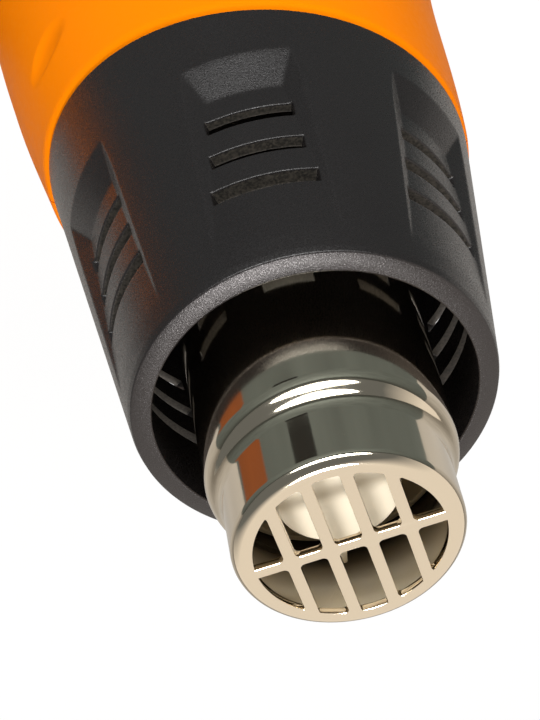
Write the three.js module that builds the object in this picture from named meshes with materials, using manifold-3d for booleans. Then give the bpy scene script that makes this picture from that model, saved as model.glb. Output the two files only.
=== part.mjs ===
// A pistol-grip hot air tool that stands on its tail. The origin is the middle of the flat tail,
// +Z runs along the barrel to the outlet and +X runs down the handle. All sizes are in millimetres.

import * as THREE from 'three';
import { mergeVertices } from 'three/addons/utils/BufferGeometryUtils.js';
import Module from 'manifold-3d';

const wasm = await Module();
wasm.setup();

// Lengths along the barrel, from the tail to the outlet
const REAR_COVER_LENGTH = 24;
const BARREL_LENGTH = 143.3;
const GUARD_LENGTH = 57.3;
const NOZZLE_PROUD = 30.4;

// Clearances
const SEAT_GAP = 0.3;
const SEAM_GAP = 0.3;
const RUN_GAP = 0.25;
const SLIDE_GAP = 0.4;

// Barrel of the housing
const BARREL_WALL = 2.6;
const BARREL_RADIUS = 43.3;
const BARREL_TAIL_RADIUS = 39.5;
const BARREL_FLARE_RADIUS = 40.3;
const BARREL_FLARE_LENGTH = 37.3;
const BARREL_BELLY_SETBACK = 72.3;
const BARREL_BELLY_DROP = 2.1;
const PART_STEP = 0.3;
const PART_LEAN_DEG = 8.8;
const PART_BOW = 0.0025;
const DIMPLE_LENGTH = 13.5;
const DIMPLE_WIDTH = 6;
const DIMPLE_DEPTH = 1;
const DIMPLE_SETBACK = 21.3;
const DIMPLE_ANGLE_DEG = 37;
const DIMPLE_FACETS = 16;

// Handle of the housing
const HANDLE_WALL = 3.6;
const HANDLE_RAKE_DEG = 14;
const HANDLE_REACH = 166;
const HANDLE_ROOT_X = 14;
const HANDLE_ROOT_Z = 74;
const HANDLE_ROOT_DEPTH = 72;
const HANDLE_ROOT_WIDTH = 48;
const HANDLE_NECK_X = 62;
const HANDLE_NECK_DEPTH = 44.6;
const HANDLE_NECK_WIDTH = 32;
const HANDLE_WAIST_X = 98;
const HANDLE_WAIST_DEPTH = 39;
const HANDLE_WAIST_WIDTH = 31.2;
const HANDLE_BUTT_DEPTH = 44;
const HANDLE_BUTT_WIDTH = 34;
const HANDLE_BUTT_ROUND = 5;
const HANDLE_SQUARENESS = 2.5;

// Soft grips let into the back of the handle
const GRIP_THICKNESS = 1.6;
const GRIP_START_X = 66;
const GRIP_END_X = 150;
const GRIP_CORNER = 14;

// Vented nose guard
const GUARD_MOUTH_RADIUS = 28.5;
const GUARD_REAR_RADIUS = 35.8;
const GUARD_WALL = 3.3;
const GUARD_SPIGOT_LENGTH = 12;
const GUARD_SPIGOT_OVERLAP = 2;
const GUARD_SPIGOT_WALL = 2.4;
const GUARD_LEDGE_THICKNESS = 3;
const POCKET_COUNT = 6;
const POCKET_DEPTH = 2.1;
const POCKET_FRONT = 5.6;
const POCKET_RAMP_FOOT = 39.6;
const POCKET_REAR = 46.4;
const POCKET_FRONT_WIDTH = 19.2;
const POCKET_RAMP_FOOT_WIDTH = 13;
const POCKET_REAR_WIDTH = 18.1;
const POCKET_WALL_SLOPE = 1.45;
const POCKET_FADE = 0.1;
const SLOT_ROWS = 3;
const SLOT_FRONT = 17.6;
const SLOT_PITCH = 7.95;
const SLOT_WIDTH = 2.4;

// Outlet nozzle with its stamped grille
const NOZZLE_WALL = 0.9;
const NOZZLE_FRONT_RADIUS = 17;
const NOZZLE_FRONT_LENGTH = 15.5;
const NOZZLE_REAR_RADIUS = 19;
const NOZZLE_SHOULDER_LENGTH = 2.6;
const NOZZLE_SHOULDER_ROUND = 0.4;
const NOZZLE_EDGE_ROUND = 1.8;
const NOZZLE_FACE_THICKNESS = 1.2;
const NOZZLE_FLANGE_RADIUS = 27;
const NOZZLE_FLANGE_THICKNESS = 1.2;
const GRILLE_RADIUS = 14;
const GRILLE_BAR_WIDTH = 1.8;
const GRILLE_BAR_COUNT = 4;
const GRILLE_BAR_PITCH = 5.82;
const GRILLE_CORNER = 0.7;
const GRILLE_TURN_DEG = 5.9;
const NOZZLE_SCREW_COUNT = 3;
const NOZZLE_SCREW_CIRCLE = 23.5;

// Air baffle behind the grille
const BAFFLE_RADIUS = 9.3;
const BAFFLE_THICKNESS = 1.2;
const BAFFLE_SETBACK = 10;
const BAFFLE_LEG_COUNT = 2;
const BAFFLE_LEG_WIDTH = 1.3;
const BAFFLE_LEG_RADIUS = 14.4;
const BAFFLE_LEG_THICKNESS = 1;

// Heating element
const ELEMENT_TURN_DEG = -6.5;
const MICA_THICKNESS = 0.9;
const MICA_SLEEVE_LENGTH = 80;
const MICA_PLATE_WIDTH = 32.4;
const MICA_COLLAR_LENGTH = 6;
const COIL_RADIUS = 12.6;
const COIL_TUBE_RADIUS = 1.5;
const COIL_TURNS = 5;
const COIL_PITCH = 6.2;
const COIL_STEPS_PER_TURN = 10;
const COIL_SIDES = 5;
const CUTOUT_RADIUS = 5;
const CUTOUT_HEIGHT = 8;
const CUTOUT_BASE_RADIUS = 3;
const CUTOUT_BASE_HEIGHT = 3.2;

// Motor, fan and the duct that carries them
const DUCT_LENGTH = 29;
const DUCT_WALL = 2.4;
const DUCT_RADIUS = 35.6;
const DUCT_SETBACK = 9.5;
const DUCT_RIB_THICKNESS = 2.2;
const DUCT_RIB_BITE = 1.2;
const DUCT_VANE_COUNT = 7;
const DUCT_VANE_LENGTH = 10;
const DUCT_VANE_THICKNESS = 1.8;
const CUP_WALL = 1.8;
const CUP_FLOOR = 2;
const CUP_LENGTH = 26;
const MOTOR_RADIUS = 18;
const MOTOR_LENGTH = 50;
const MOTOR_CAP_LENGTH = 8;
const MOTOR_CAP_RADIUS = 17;
const MOTOR_EDGE = 1.5;
const MOTOR_NOSE_RADIUS = 6.5;
const SHAFT_RADIUS = 1.6;
const SHAFT_GRIP = 34;
const SHAFT_END_GAP = 1;
const SHAFT_PROUD = 1;
const FAN_TIP_GAP = 1.8;
const FAN_HUB_RADIUS = 10;
const FAN_HEIGHT = 13;
const FAN_NOSE_RADIUS = 6;
const FAN_NOSE_HEIGHT = 4;
const FAN_BLADE_COUNT = 9;
const FAN_BLADE_THICKNESS = 1.5;
const FAN_BLADE_HEIGHT = 8;
const FAN_BLADE_CAMBER = 0.08;
const FAN_BLADE_ROOT_DEG = 48;
const FAN_BLADE_TIP_DEG = 30;
const BOARD_RADIUS = 16.5;
const BOARD_THICKNESS = 1.6;
const BOARD_PILLAR = 2.4;
const BOARD_PILLAR_THICKNESS = 1.2;
const DIODE_RADIUS = 2.6;
const DIODE_LENGTH = 9;
const DIODE_SPACING = 1;
const BOARD_PILLAR_OFFSET = 8.5;

// Rear cover
const FOOT_RADIUS = 34;
const REAR_EDGE_ROUND = 5;
const REAR_WALL = 2.4;
const REAR_FLOOR = 2.6;
const REAR_SPIGOT_RADIUS = 33.8;
const REAR_FLANGE_RADIUS = 36.2;
const REAR_FLANGE_THICKNESS = 1.8;
const REAR_LIP_THICKNESS = 2.6;
const SIDE_SLOT_COUNT = 18;
const SIDE_SLOT_WIDTH = 3.2;
const SIDE_SLOT_START = 8;
const SIDE_SLOT_LENGTH = 11;
const TAIL_SLOT_COUNT = 12;
const TAIL_SLOT_WIDTH = 2.8;
const TAIL_SLOT_INNER = 13;
const TAIL_SLOT_OUTER = 25;

// Slide switch on the front of the handle
const SWITCH_X = 73;
const SWITCH_TRAVEL = 10;
const SWITCH_RECESS = 3;
const SWITCH_CAP_LENGTH = 20;
const SWITCH_CAP_WIDTH = 12.6;
const SWITCH_CAP_HEIGHT = 7.6;
const SWITCH_CAP_SHOULDER = 4;
const SWITCH_CAP_LEAN = 1;
const SWITCH_CAP_DISH = 2;
const SWITCH_GROOVE_COUNT = 5;
const SWITCH_GROOVE_PITCH = 3.2;
const SWITCH_GROOVE_WIDTH = 1.3;
const SWITCH_GROOVE_DEPTH = 0.8;
const SWITCH_STEM_LENGTH = 8;
const SWITCH_STEM_WIDTH = 5;
const SWITCH_STEM_BITE = 3;
const SWITCH_SHELF = 2.6;
const SWITCH_SHELF_MARGIN = 3;
const SWITCH_BODY_LENGTH = 30;
const SWITCH_BODY_WIDTH = 14;
const SWITCH_BODY_HEIGHT = 17;
const SWITCH_CHAMFER = 1.5;

// Gland where the mains lead enters the butt of the handle
const GLAND_BORE_RADIUS = 4;
const GLAND_NECK_RADIUS = 6.4;
const GLAND_COLLAR_RADIUS = 8.6;
const GLAND_COLLAR_PROUD = 4;
const GLAND_INNER_LENGTH = 3;

// Screws that close the housing, from its left side
const SCREW_INSET = 8;
const TOP_REAR_SCREW_SETBACK = 89;
const TOP_FRONT_SCREW_SETBACK = 43;
const BELLY_SCREW_SETBACK = 37;
const ROOT_SCREW_X = 50;
const ROOT_SCREW_RISE = -17;
const WAIST_SCREW_X = 103;
const BUTT_SCREW_INSET = 18;
const HANDLE_SCREW_RISE = 10;
const SCREW_SHANK_RADIUS = 1.5;
const SCREW_HEAD_RADIUS = 3.2;
const SCREW_HEAD_HEIGHT = 2.4;
const SCREW_REACH = 9;
const SCREW_SEAT = 7;
const BOSS_WALL = 1.4;
const FLANGE_SCREW_RADIUS = 1.2;
const FLANGE_SCREW_HEAD_RADIUS = 2.4;
const FLANGE_SCREW_HEAD_HEIGHT = 1.9;
const SCREW_TIP_SHARE = 0.6;
const SCREW_RIM_SHARE = 0.5;
const SCREW_CROWN_SHARE = 0.7;

// Facets and steps of the curves
const ROUND_FACETS = 28;
const MIDDLE_FACETS = 20;
const SMALL_FACETS = 10;
const HANDLE_FACETS = 18;
const SCREW_FACETS = 8;
const BARREL_STEPS = 7;
const HANDLE_STEPS = 6;
const PART_STEPS = 16;
const ARC_STEPS = 4;
const HOLE_STEPS = 2;

// Reach of cutting shapes beyond what they cut
const OVERCUT = 1;
const POCKET_OVERCUT = 4;
const FAR = 200;

// Places along the barrel that follow from the lengths
const jointZ = REAR_COVER_LENGTH;
const partZ = jointZ + BARREL_LENGTH;
const rimZ = partZ + GUARD_LENGTH;
const faceZ = rimZ + NOZZLE_PROUD;
const radians = THREE.MathUtils.degToRad;
const handleSlope = Math.tan(radians(HANDLE_RAKE_DEG));

// Solids from geometry

function trianglesOf(geometry) {
  const bare = geometry.clone();
  bare.deleteAttribute('normal');
  bare.deleteAttribute('uv');
  const merged = mergeVertices(bare, 1e-4);
  const index = merged.index.array;
  const kept = [];
  for (let i = 0; i < index.length; i += 3) {
    const [a, b, c] = [index[i], index[i + 1], index[i + 2]];
    if (a !== b && b !== c && a !== c) kept.push(a, b, c);
  }
  return { position: merged.attributes.position.array, kept };
}

function signedVolume(position, kept) {
  const [a, b, c] = [new THREE.Vector3(), new THREE.Vector3(), new THREE.Vector3()];
  let sum = 0;
  for (let i = 0; i < kept.length; i += 3) {
    a.fromArray(position, 3 * kept[i]);
    b.fromArray(position, 3 * kept[i + 1]);
    c.fromArray(position, 3 * kept[i + 2]);
    sum += a.dot(b.cross(c)) / 6;
  }
  return sum;
}

function solid(geometry) {
  const { position, kept } = trianglesOf(geometry);
  if (signedVolume(position, kept) < 0) kept.reverse();
  return new wasm.Manifold(new wasm.Mesh({
    numProp: 3,
    vertProperties: new Float32Array(position),
    triVerts: new Uint32Array(kept),
  }));
}

function geometryOf(shape) {
  const mesh = shape.getMesh();
  const geometry = new THREE.BufferGeometry();
  geometry.setAttribute('position', new THREE.BufferAttribute(mesh.vertProperties, 3));
  geometry.setIndex(new THREE.BufferAttribute(mesh.triVerts, 1));
  return geometry;
}

function join(...shapes) {
  return shapes.reduce((sum, shape) => sum.add(shape));
}

function cut(shape, ...tools) {
  return tools.reduce((rest, tool) => rest.subtract(tool), shape);
}

// A profile of radius and height pairs, turned about Z
function revolve(profile, facets = ROUND_FACETS) {
  const points = profile.map(([radius, z]) => new THREE.Vector2(radius, z));
  if (profile[0][0] > 0) points.push(points[0].clone());
  return solid(new THREE.LatheGeometry(points, facets).rotateX(Math.PI / 2));
}

function disc(radius, z0, z1, facets = ROUND_FACETS) {
  return revolve([[0, z0], [radius, z0], [radius, z1], [0, z1]], facets);
}

function ring(inner, outer, z0, z1, facets = ROUND_FACETS) {
  return revolve([[inner, z0], [outer, z0], [outer, z1], [inner, z1]], facets);
}

// A block between two corners
function block([x0, y0, z0], [x1, y1, z1]) {
  const geometry = new THREE.BoxGeometry(x1 - x0, y1 - y0, z1 - z0);
  return solid(geometry.translate((x0 + x1) / 2, (y0 + y1) / 2, (z0 + z1) / 2));
}

// An outline in X and Y, raised along Z
function prism(outline, z0, z1, curveSegments = ARC_STEPS) {
  const options = { depth: z1 - z0, bevelEnabled: false, curveSegments };
  return solid(new THREE.ExtrudeGeometry(outline, options).translate(0, 0, z0));
}

// An outline in X and Z, raised along Y
function sidePrism(outline, y0, y1, curveSegments = ARC_STEPS) {
  const options = { depth: y1 - y0, bevelEnabled: false, curveSegments };
  const geometry = new THREE.ExtrudeGeometry(outline, options);
  return solid(geometry.rotateX(Math.PI / 2).translate(0, y1, 0));
}

// A rod along Y through the point x, z
function crossRod(radius, [x, z], y0, y1, facets = SMALL_FACETS) {
  const geometry = new THREE.CylinderGeometry(radius, radius, y1 - y0, facets);
  return solid(geometry.translate(x, (y0 + y1) / 2, z));
}

// A skin through rings of equal point counts, closed at both ends
function loft(rings) {
  const count = rings[0].length;
  const positions = rings.flat().flatMap((point) => point.toArray());
  const indices = [];
  for (let row = 0; row + 1 < rings.length; row += 1) {
    for (let i = 0; i < count; i += 1) {
      const next = (i + 1) % count;
      const [a, b] = [row * count + i, row * count + next];
      indices.push(a, b, b + count, a, b + count, a + count);
    }
  }
  for (const [row, flip] of [[0, true], [rings.length - 1, false]]) {
    const middle = new THREE.Vector3();
    rings[row].forEach((point) => middle.addScaledVector(point, 1 / count));
    const hub = positions.length / 3;
    positions.push(...middle.toArray());
    for (let i = 0; i < count; i += 1) {
      const [a, b] = [row * count + i, row * count + ((i + 1) % count)];
      indices.push(hub, ...(flip ? [b, a] : [a, b]));
    }
  }
  const geometry = new THREE.BufferGeometry();
  geometry.setAttribute('position', new THREE.Float32BufferAttribute(positions, 3));
  geometry.setIndex(indices);
  return solid(geometry);
}

// A sector of a ring between two radii, centred on an angle about Z
function sector(inner, outer, middle, half, z0, z1) {
  const outline = new THREE.Shape();
  outline.absarc(0, 0, outer, middle - half, middle + half, false);
  outline.absarc(0, 0, inner, middle + half, middle - half, true);
  return prism(outline, z0, z1);
}

// A closed outline through corner points, with each corner rounded
function roundedOutline(points, radius) {
  const outline = new THREE.Shape();
  points.forEach((point, i) => {
    const before = points[(i + points.length - 1) % points.length];
    const after = points[(i + 1) % points.length];
    const reachIn = Math.min(radius, point.distanceTo(before) / 2);
    const reachOut = Math.min(radius, point.distanceTo(after) / 2);
    const start = point.clone().add(before.clone().sub(point).setLength(reachIn));
    const end = point.clone().add(after.clone().sub(point).setLength(reachOut));
    if (i === 0) outline.moveTo(start.x, start.y);
    else outline.lineTo(start.x, start.y);
    outline.quadraticCurveTo(point.x, point.y, end.x, end.y);
  });
  outline.closePath();
  return outline;
}

function turned(shape, angle) {
  return shape.rotate([0, 0, THREE.MathUtils.radToDeg(angle)]);
}

// Pieces and their finishes

function finish(color, roughness, metalness) {
  return () => new THREE.MeshStandardMaterial({ color, roughness, metalness });
}

const orangePlastic = finish(0xff8a00, 0.42, 0);
const blackPlastic = finish(0x2b2a2c, 0.62, 0);
const softRubber = finish(0x1d1d1f, 0.85, 0);
const chromePlate = finish(0xd9d4cb, 0.14, 1);
const bareSteel = finish(0x9b9b9a, 0.35, 1);
const mica = finish(0xd8cba6, 0.7, 0);
const resistanceWire = finish(0x8d867c, 0.4, 1);
const fanPlastic = finish(0xe8e4d8, 0.5, 0);
const boardGreen = finish(0x2f6b3a, 0.6, 0);
const bronze = finish(0xb08a4a, 0.4, 1);

const tool = new THREE.Group();

function piece(name, shape, material) {
  const mesh = new THREE.Mesh(geometryOf(shape), material());
  mesh.name = name;
  tool.add(mesh);
}

// Barrel profile: height, radius and sideways drop towards the handle

const barrelCurve = new THREE.CatmullRomCurve3([
  new THREE.Vector3(jointZ, BARREL_TAIL_RADIUS, 0),
  new THREE.Vector3(partZ - BARREL_BELLY_SETBACK, BARREL_RADIUS, BARREL_BELLY_DROP),
  new THREE.Vector3(partZ - BARREL_FLARE_LENGTH, BARREL_FLARE_RADIUS, BARREL_BELLY_DROP),
  new THREE.Vector3(partZ, GUARD_REAR_RADIUS + PART_STEP, 0),
  new THREE.Vector3(rimZ, GUARD_MOUTH_RADIUS + PART_STEP, 0),
]);
const barrelStations = barrelCurve.getPoints(BARREL_STEPS);

function barrelSkin(inset) {
  return loft(barrelStations.map(({ x: z, y: radius, z: drop }) => circle(radius - inset, z, drop)));
}

function circle(radius, z, drop) {
  return Array.from({ length: ROUND_FACETS }, (_, i) => {
    const angle = (2 * Math.PI * i) / ROUND_FACETS;
    return new THREE.Vector3(drop + radius * Math.cos(angle), radius * Math.sin(angle), z);
  });
}

function barrelAt(z) {
  const above = barrelStations.findIndex((station) => station.x >= z);
  const [low, high] = [barrelStations[Math.max(above - 1, 0)], barrelStations[above]];
  const share = high.x > low.x ? (z - low.x) / (high.x - low.x) : 0;
  const { y: radius, z: drop } = low.clone().lerp(high, share);
  return { radius, drop };
}

// Handle profile: place along X, half depth and half width

function handleMiddle(x) {
  return HANDLE_ROOT_Z - handleSlope * (x - HANDLE_ROOT_X);
}

const handleCurve = new THREE.CatmullRomCurve3([
  new THREE.Vector3(HANDLE_ROOT_X, HANDLE_ROOT_DEPTH / 2, HANDLE_ROOT_WIDTH / 2),
  new THREE.Vector3(HANDLE_NECK_X, HANDLE_NECK_DEPTH / 2, HANDLE_NECK_WIDTH / 2),
  new THREE.Vector3(HANDLE_WAIST_X, HANDLE_WAIST_DEPTH / 2, HANDLE_WAIST_WIDTH / 2),
  new THREE.Vector3(HANDLE_REACH - HANDLE_BUTT_ROUND, HANDLE_BUTT_DEPTH / 2, HANDLE_BUTT_WIDTH / 2),
]);
const handleStations = handleCurve.getPoints(HANDLE_STEPS);

function handleRing(x, halfDepth, halfWidth) {
  const power = 2 / HANDLE_SQUARENESS;
  return Array.from({ length: HANDLE_FACETS }, (_, i) => {
    const angle = (2 * Math.PI * (i + 0.5)) / HANDLE_FACETS;
    const [across, along] = [Math.cos(angle), Math.sin(angle)];
    const y = halfWidth * Math.sign(across) * Math.abs(across) ** power;
    const z = halfDepth * Math.sign(along) * Math.abs(along) ** power;
    return new THREE.Vector3(x, y, handleMiddle(x) + z);
  });
}

function handleSkin(inset) {
  const rings = handleStations.map(({ x, y, z }) => handleRing(x, y - inset, z - inset));
  const { x, y, z } = handleStations[handleStations.length - 1];
  const round = HANDLE_BUTT_ROUND;
  for (const turn of [45, 90].map(radians)) {
    const drawnIn = inset + round * (1 - Math.cos(turn));
    const place = Math.min(x + round * Math.sin(turn), HANDLE_REACH - inset);
    rings.push(handleRing(place, y - drawnIn, z - drawnIn));
  }
  return loft(rings);
}

function handleHalfDepthAt(x) {
  const above = handleStations.findIndex((station) => station.x >= x);
  const [low, high] = [handleStations[above - 1], handleStations[above]];
  return THREE.MathUtils.lerp(low.y, high.y, (x - low.x) / (high.x - low.x));
}

// Screw places, as X and Z

function barrelScrew(setback, side) {
  const { radius, drop } = barrelAt(partZ - setback);
  return [drop + side * (radius - SCREW_INSET), partZ - setback];
}

function handleScrew(x, rise) {
  return [x, handleMiddle(x) + rise];
}

const housingScrews = [
  barrelScrew(TOP_REAR_SCREW_SETBACK, -1),
  barrelScrew(TOP_FRONT_SCREW_SETBACK, -1),
  barrelScrew(BELLY_SCREW_SETBACK, 1),
  handleScrew(ROOT_SCREW_X, ROOT_SCREW_RISE),
  handleScrew(WAIST_SCREW_X, HANDLE_SCREW_RISE),
  handleScrew(HANDLE_REACH - BUTT_SCREW_INSET, HANDLE_SCREW_RISE),
];

// Slide switch frame: X along the handle, Z out of its front

const switchPlace = new THREE.Vector3(
  SWITCH_X,
  0,
  handleMiddle(SWITCH_X) + handleHalfDepthAt(SWITCH_X),
);

function onHandle(shape) {
  return shape.rotate([0, HANDLE_RAKE_DEG, 0]).translate(switchPlace.toArray());
}

const recessLength = SWITCH_CAP_LENGTH + SWITCH_TRAVEL + 2 * SLIDE_GAP;
const recessWidth = SWITCH_CAP_WIDTH + 2 * SLIDE_GAP;
const stemSlotLength = SWITCH_STEM_LENGTH + SWITCH_TRAVEL + 2 * SLIDE_GAP;
const stemSlotWidth = SWITCH_STEM_WIDTH + 2 * SLIDE_GAP;
const switchBodyTop = -SWITCH_RECESS - SWITCH_SHELF - SEAT_GAP;

// Region in front of the leaning, bowed line where the guard meets the housing

function partLine(x) {
  return partZ - Math.tan(radians(PART_LEAN_DEG)) * x - PART_BOW * x * x;
}

function frontRegion(shift) {
  const reach = 1.5 * BARREL_RADIUS;
  const outline = new THREE.Shape();
  outline.moveTo(-reach, faceZ + FAR);
  outline.lineTo(-reach, partLine(-reach) + shift);
  const middle = partLine(0) + PART_BOW * reach * reach + shift;
  outline.quadraticCurveTo(0, middle, reach, partLine(reach) + shift);
  outline.lineTo(reach, faceZ + FAR);
  outline.closePath();
  return sidePrism(outline, -FAR, FAR, PART_STEPS);
}

// Grip region: the back of the handle between two rounded ends

function gripRegion(grow) {
  const [start, end] = [GRIP_START_X - grow, GRIP_END_X + grow];
  const top = (x) => handleMiddle(x) + grow;
  const corner = GRIP_CORNER;
  const outline = new THREE.Shape();
  outline.moveTo(start, -FAR);
  outline.lineTo(end, -FAR);
  outline.lineTo(end, top(end) - corner);
  outline.quadraticCurveTo(end, top(end), end - corner, top(end - corner));
  outline.lineTo(start + corner, top(start + corner));
  outline.quadraticCurveTo(start, top(start), start, top(start) - corner);
  outline.closePath();
  return sidePrism(outline, -FAR, FAR);
}

// Housing halves

const outerSkin = join(barrelSkin(0), handleSkin(0));
const innerSkin = join(barrelSkin(BARREL_WALL), handleSkin(HANDLE_WALL));

const spigotRearZ = partLine(BARREL_RADIUS) - GUARD_SPIGOT_LENGTH;
const ductZ = jointZ + DUCT_SETBACK;
const ductEndZ = ductZ + DUCT_LENGTH;

function ductRib(z) {
  const { radius, drop } = barrelAt(z);
  const top = z + DUCT_RIB_THICKNESS;
  const plate = disc(radius - BARREL_WALL / 2, z, top).translate([drop, 0, 0]);
  return cut(plate, disc(DUCT_RADIUS - DUCT_RIB_BITE, z - OVERCUT, top + OVERCUT));
}

function housingShell() {
  const shelfTop = -SWITCH_RECESS;
  const shelfHalf = [recessLength / 2 + SWITCH_SHELF_MARGIN, recessWidth / 2 + SWITCH_SHELF_MARGIN];
  const shelf = onHandle(block(
    [-shelfHalf[0], -shelfHalf[1], shelfTop - SWITCH_SHELF],
    [shelfHalf[0], shelfHalf[1], shelfTop + SWITCH_RECESS],
  )).intersect(outerSkin);
  const rearLip = ring(REAR_SPIGOT_RADIUS + SEAT_GAP, barrelAt(jointZ).radius - BARREL_WALL / 2,
    jointZ, jointZ + REAR_LIP_THICKNESS);
  const ribs = [
    ductRib(ductZ - SEAT_GAP - DUCT_RIB_THICKNESS),
    ductRib(ductEndZ + SEAT_GAP),
  ];
  return join(cut(outerSkin, innerSkin), shelf, rearLip, ...ribs);
}

// What both halves leave free: the guard, the switch, the grips and the gland
function housingCuts() {
  const recess = onHandle(block(
    [-recessLength / 2, -recessWidth / 2, -SWITCH_RECESS],
    [recessLength / 2, recessWidth / 2, FAR],
  ));
  const stemSlot = onHandle(block(
    [-stemSlotLength / 2, -stemSlotWidth / 2, switchBodyTop - OVERCUT],
    [stemSlotLength / 2, stemSlotWidth / 2, FAR],
  ));
  const bayHalf = [SWITCH_BODY_LENGTH / 2 + SEAT_GAP, SWITCH_BODY_WIDTH / 2 + SEAT_GAP];
  const switchBay = onHandle(block(
    [-bayHalf[0], -bayHalf[1], switchBodyTop - SWITCH_BODY_HEIGHT - SEAT_GAP],
    [bayHalf[0], bayHalf[1], switchBodyTop + SEAT_GAP],
  ));
  const gripBed = cut(gripRegion(SEAT_GAP), handleSkin(GRIP_THICKNESS + SEAT_GAP));
  const glandHole = glandRod(GLAND_NECK_RADIUS + SEAT_GAP, HANDLE_REACH - HANDLE_WALL - OVERCUT,
    HANDLE_REACH + OVERCUT);
  return [frontRegion(0), recess, stemSlot, switchBay, gripBed, glandHole];
}

function halfSpace(side) {
  const near = side * (SEAM_GAP / 2);
  const far = side * FAR;
  return block([-FAR, Math.min(near, far), -FAR], [2 * FAR, Math.max(near, far), 2 * FAR]);
}

function dimple(side) {
  const z = partZ - DIMPLE_SETBACK;
  const { radius, drop } = barrelAt(z);
  const geometry = new THREE.SphereGeometry(1, DIMPLE_FACETS, DIMPLE_FACETS / 2);
  const waterline = Math.sqrt(3) / 2;
  geometry.scale(2 * DIMPLE_DEPTH, DIMPLE_LENGTH / 2 / waterline, DIMPLE_WIDTH / 2 / waterline);
  geometry.translate(radius + DIMPLE_DEPTH, 0, 0);
  const angle = side * radians(DIMPLE_ANGLE_DEG);
  return turned(solid(geometry), angle).translate([drop, 0, z]);
}

function bosses(side, radius) {
  const rods = housingScrews.map((place) => (
    crossRod(radius, place, Math.min(0, side * FAR), Math.max(0, side * FAR))
  ));
  return join(...rods).intersect(outerSkin);
}

function rightHalf(shell) {
  const bossRadius = SCREW_SHANK_RADIUS + SEAT_GAP + 2 * BOSS_WALL;
  const pilots = housingScrews.map((place) => (
    crossRod(SCREW_SHANK_RADIUS + SEAT_GAP, place, -SCREW_REACH - OVERCUT, OVERCUT)
  ));
  const whole = cut(join(shell, bosses(-1, bossRadius)), ...housingCuts(), ...pilots, dimple(-1));
  return whole.intersect(halfSpace(-1));
}

function leftHalf(shell) {
  const headHole = SCREW_HEAD_RADIUS + SEAT_GAP;
  const holes = housingScrews.flatMap((place) => [
    crossRod(SCREW_SHANK_RADIUS + SEAT_GAP, place, -OVERCUT, SCREW_SEAT + OVERCUT),
    crossRod(headHole, place, SCREW_SEAT, FAR),
  ]);
  const bossRadius = headHole + BOSS_WALL;
  const whole = cut(join(shell, bosses(1, bossRadius)), ...housingCuts(), ...holes, dimple(1));
  return whole.intersect(halfSpace(1));
}

function glandRod(radius, x0, x1) {
  const geometry = new THREE.CylinderGeometry(radius, radius, x1 - x0, SMALL_FACETS + 4);
  geometry.rotateZ(Math.PI / 2).translate((x0 + x1) / 2, 0, handleMiddle(HANDLE_REACH));
  return solid(geometry);
}

function addHousing() {
  const shell = housingShell();
  piece('housing_right', rightHalf(shell), orangePlastic);
  piece('housing_left', leftHalf(shell), orangePlastic);
  const pads = cut(gripRegion(0).intersect(handleSkin(0)), handleSkin(GRIP_THICKNESS));
  piece('grip_right', pads.intersect(halfSpace(-1)), softRubber);
  piece('grip_left', pads.intersect(halfSpace(1)), softRubber);
}

// A pan-head screw standing on its seat, shank downwards
function screw(shankRadius, headRadius, headHeight, reach) {
  return revolve([
    [0, -reach],
    [shankRadius * SCREW_TIP_SHARE, -reach],
    [shankRadius, -reach + shankRadius],
    [shankRadius, 0],
    [headRadius, 0],
    [headRadius, headHeight * SCREW_RIM_SHARE],
    [headRadius * SCREW_CROWN_SHARE, headHeight],
    [0, headHeight],
  ], SCREW_FACETS);
}

function addHousingScrews() {
  housingScrews.forEach(([x, z], i) => {
    const standing = screw(SCREW_SHANK_RADIUS, SCREW_HEAD_RADIUS, SCREW_HEAD_HEIGHT,
      SCREW_SEAT + SCREW_REACH);
    const laid = standing.rotate([-90, 0, 0]).translate([x, SCREW_SEAT + SEAT_GAP, z]);
    piece(`housing_screw_${i + 1}`, laid, bareSteel);
  });
}

function addGland() {
  const collarX = HANDLE_REACH + SEAT_GAP;
  const innerX = HANDLE_REACH - HANDLE_WALL - SEAT_GAP;
  const body = join(
    glandRod(GLAND_COLLAR_RADIUS, collarX, collarX + GLAND_COLLAR_PROUD),
    glandRod(GLAND_NECK_RADIUS, innerX - OVERCUT, collarX + OVERCUT),
    glandRod(GLAND_COLLAR_RADIUS, innerX - GLAND_INNER_LENGTH, innerX),
  );
  const bore = glandRod(GLAND_BORE_RADIUS, innerX - FAR, collarX + FAR);
  piece('cord_gland', cut(body, bore), softRubber);
}

// Nose guard

const guardTaper = (GUARD_REAR_RADIUS - GUARD_MOUTH_RADIUS) / GUARD_LENGTH;

function guardRadiusAt(z) {
  return GUARD_MOUTH_RADIUS + guardTaper * (rimZ - z);
}

function pocketSection(setback, depth, halfWidth) {
  const z = rimZ - setback;
  const floorRadius = guardRadiusAt(z) - depth;
  const topHalf = halfWidth + (depth + POCKET_OVERCUT) * POCKET_WALL_SLOPE;
  const arc = (radius, half, from) => Array.from({ length: ARC_STEPS + 1 }, (_, i) => {
    const angle = from * Math.asin(half / radius) * (1 - (2 * i) / ARC_STEPS);
    return new THREE.Vector3(radius * Math.cos(angle), radius * Math.sin(angle), z);
  });
  const top = guardRadiusAt(z) + POCKET_OVERCUT;
  return [...arc(floorRadius, halfWidth, 1), ...arc(top, topHalf, -1)];
}

function pocketHalfWidth(setback) {
  const share = (setback - POCKET_FRONT) / (POCKET_RAMP_FOOT - POCKET_FRONT);
  return THREE.MathUtils.lerp(POCKET_FRONT_WIDTH, POCKET_RAMP_FOOT_WIDTH, share) / 2;
}

function pocketDepth(setback) {
  return POCKET_DEPTH * ((setback - POCKET_FRONT) / (POCKET_RAMP_FOOT - POCKET_FRONT));
}

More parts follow.
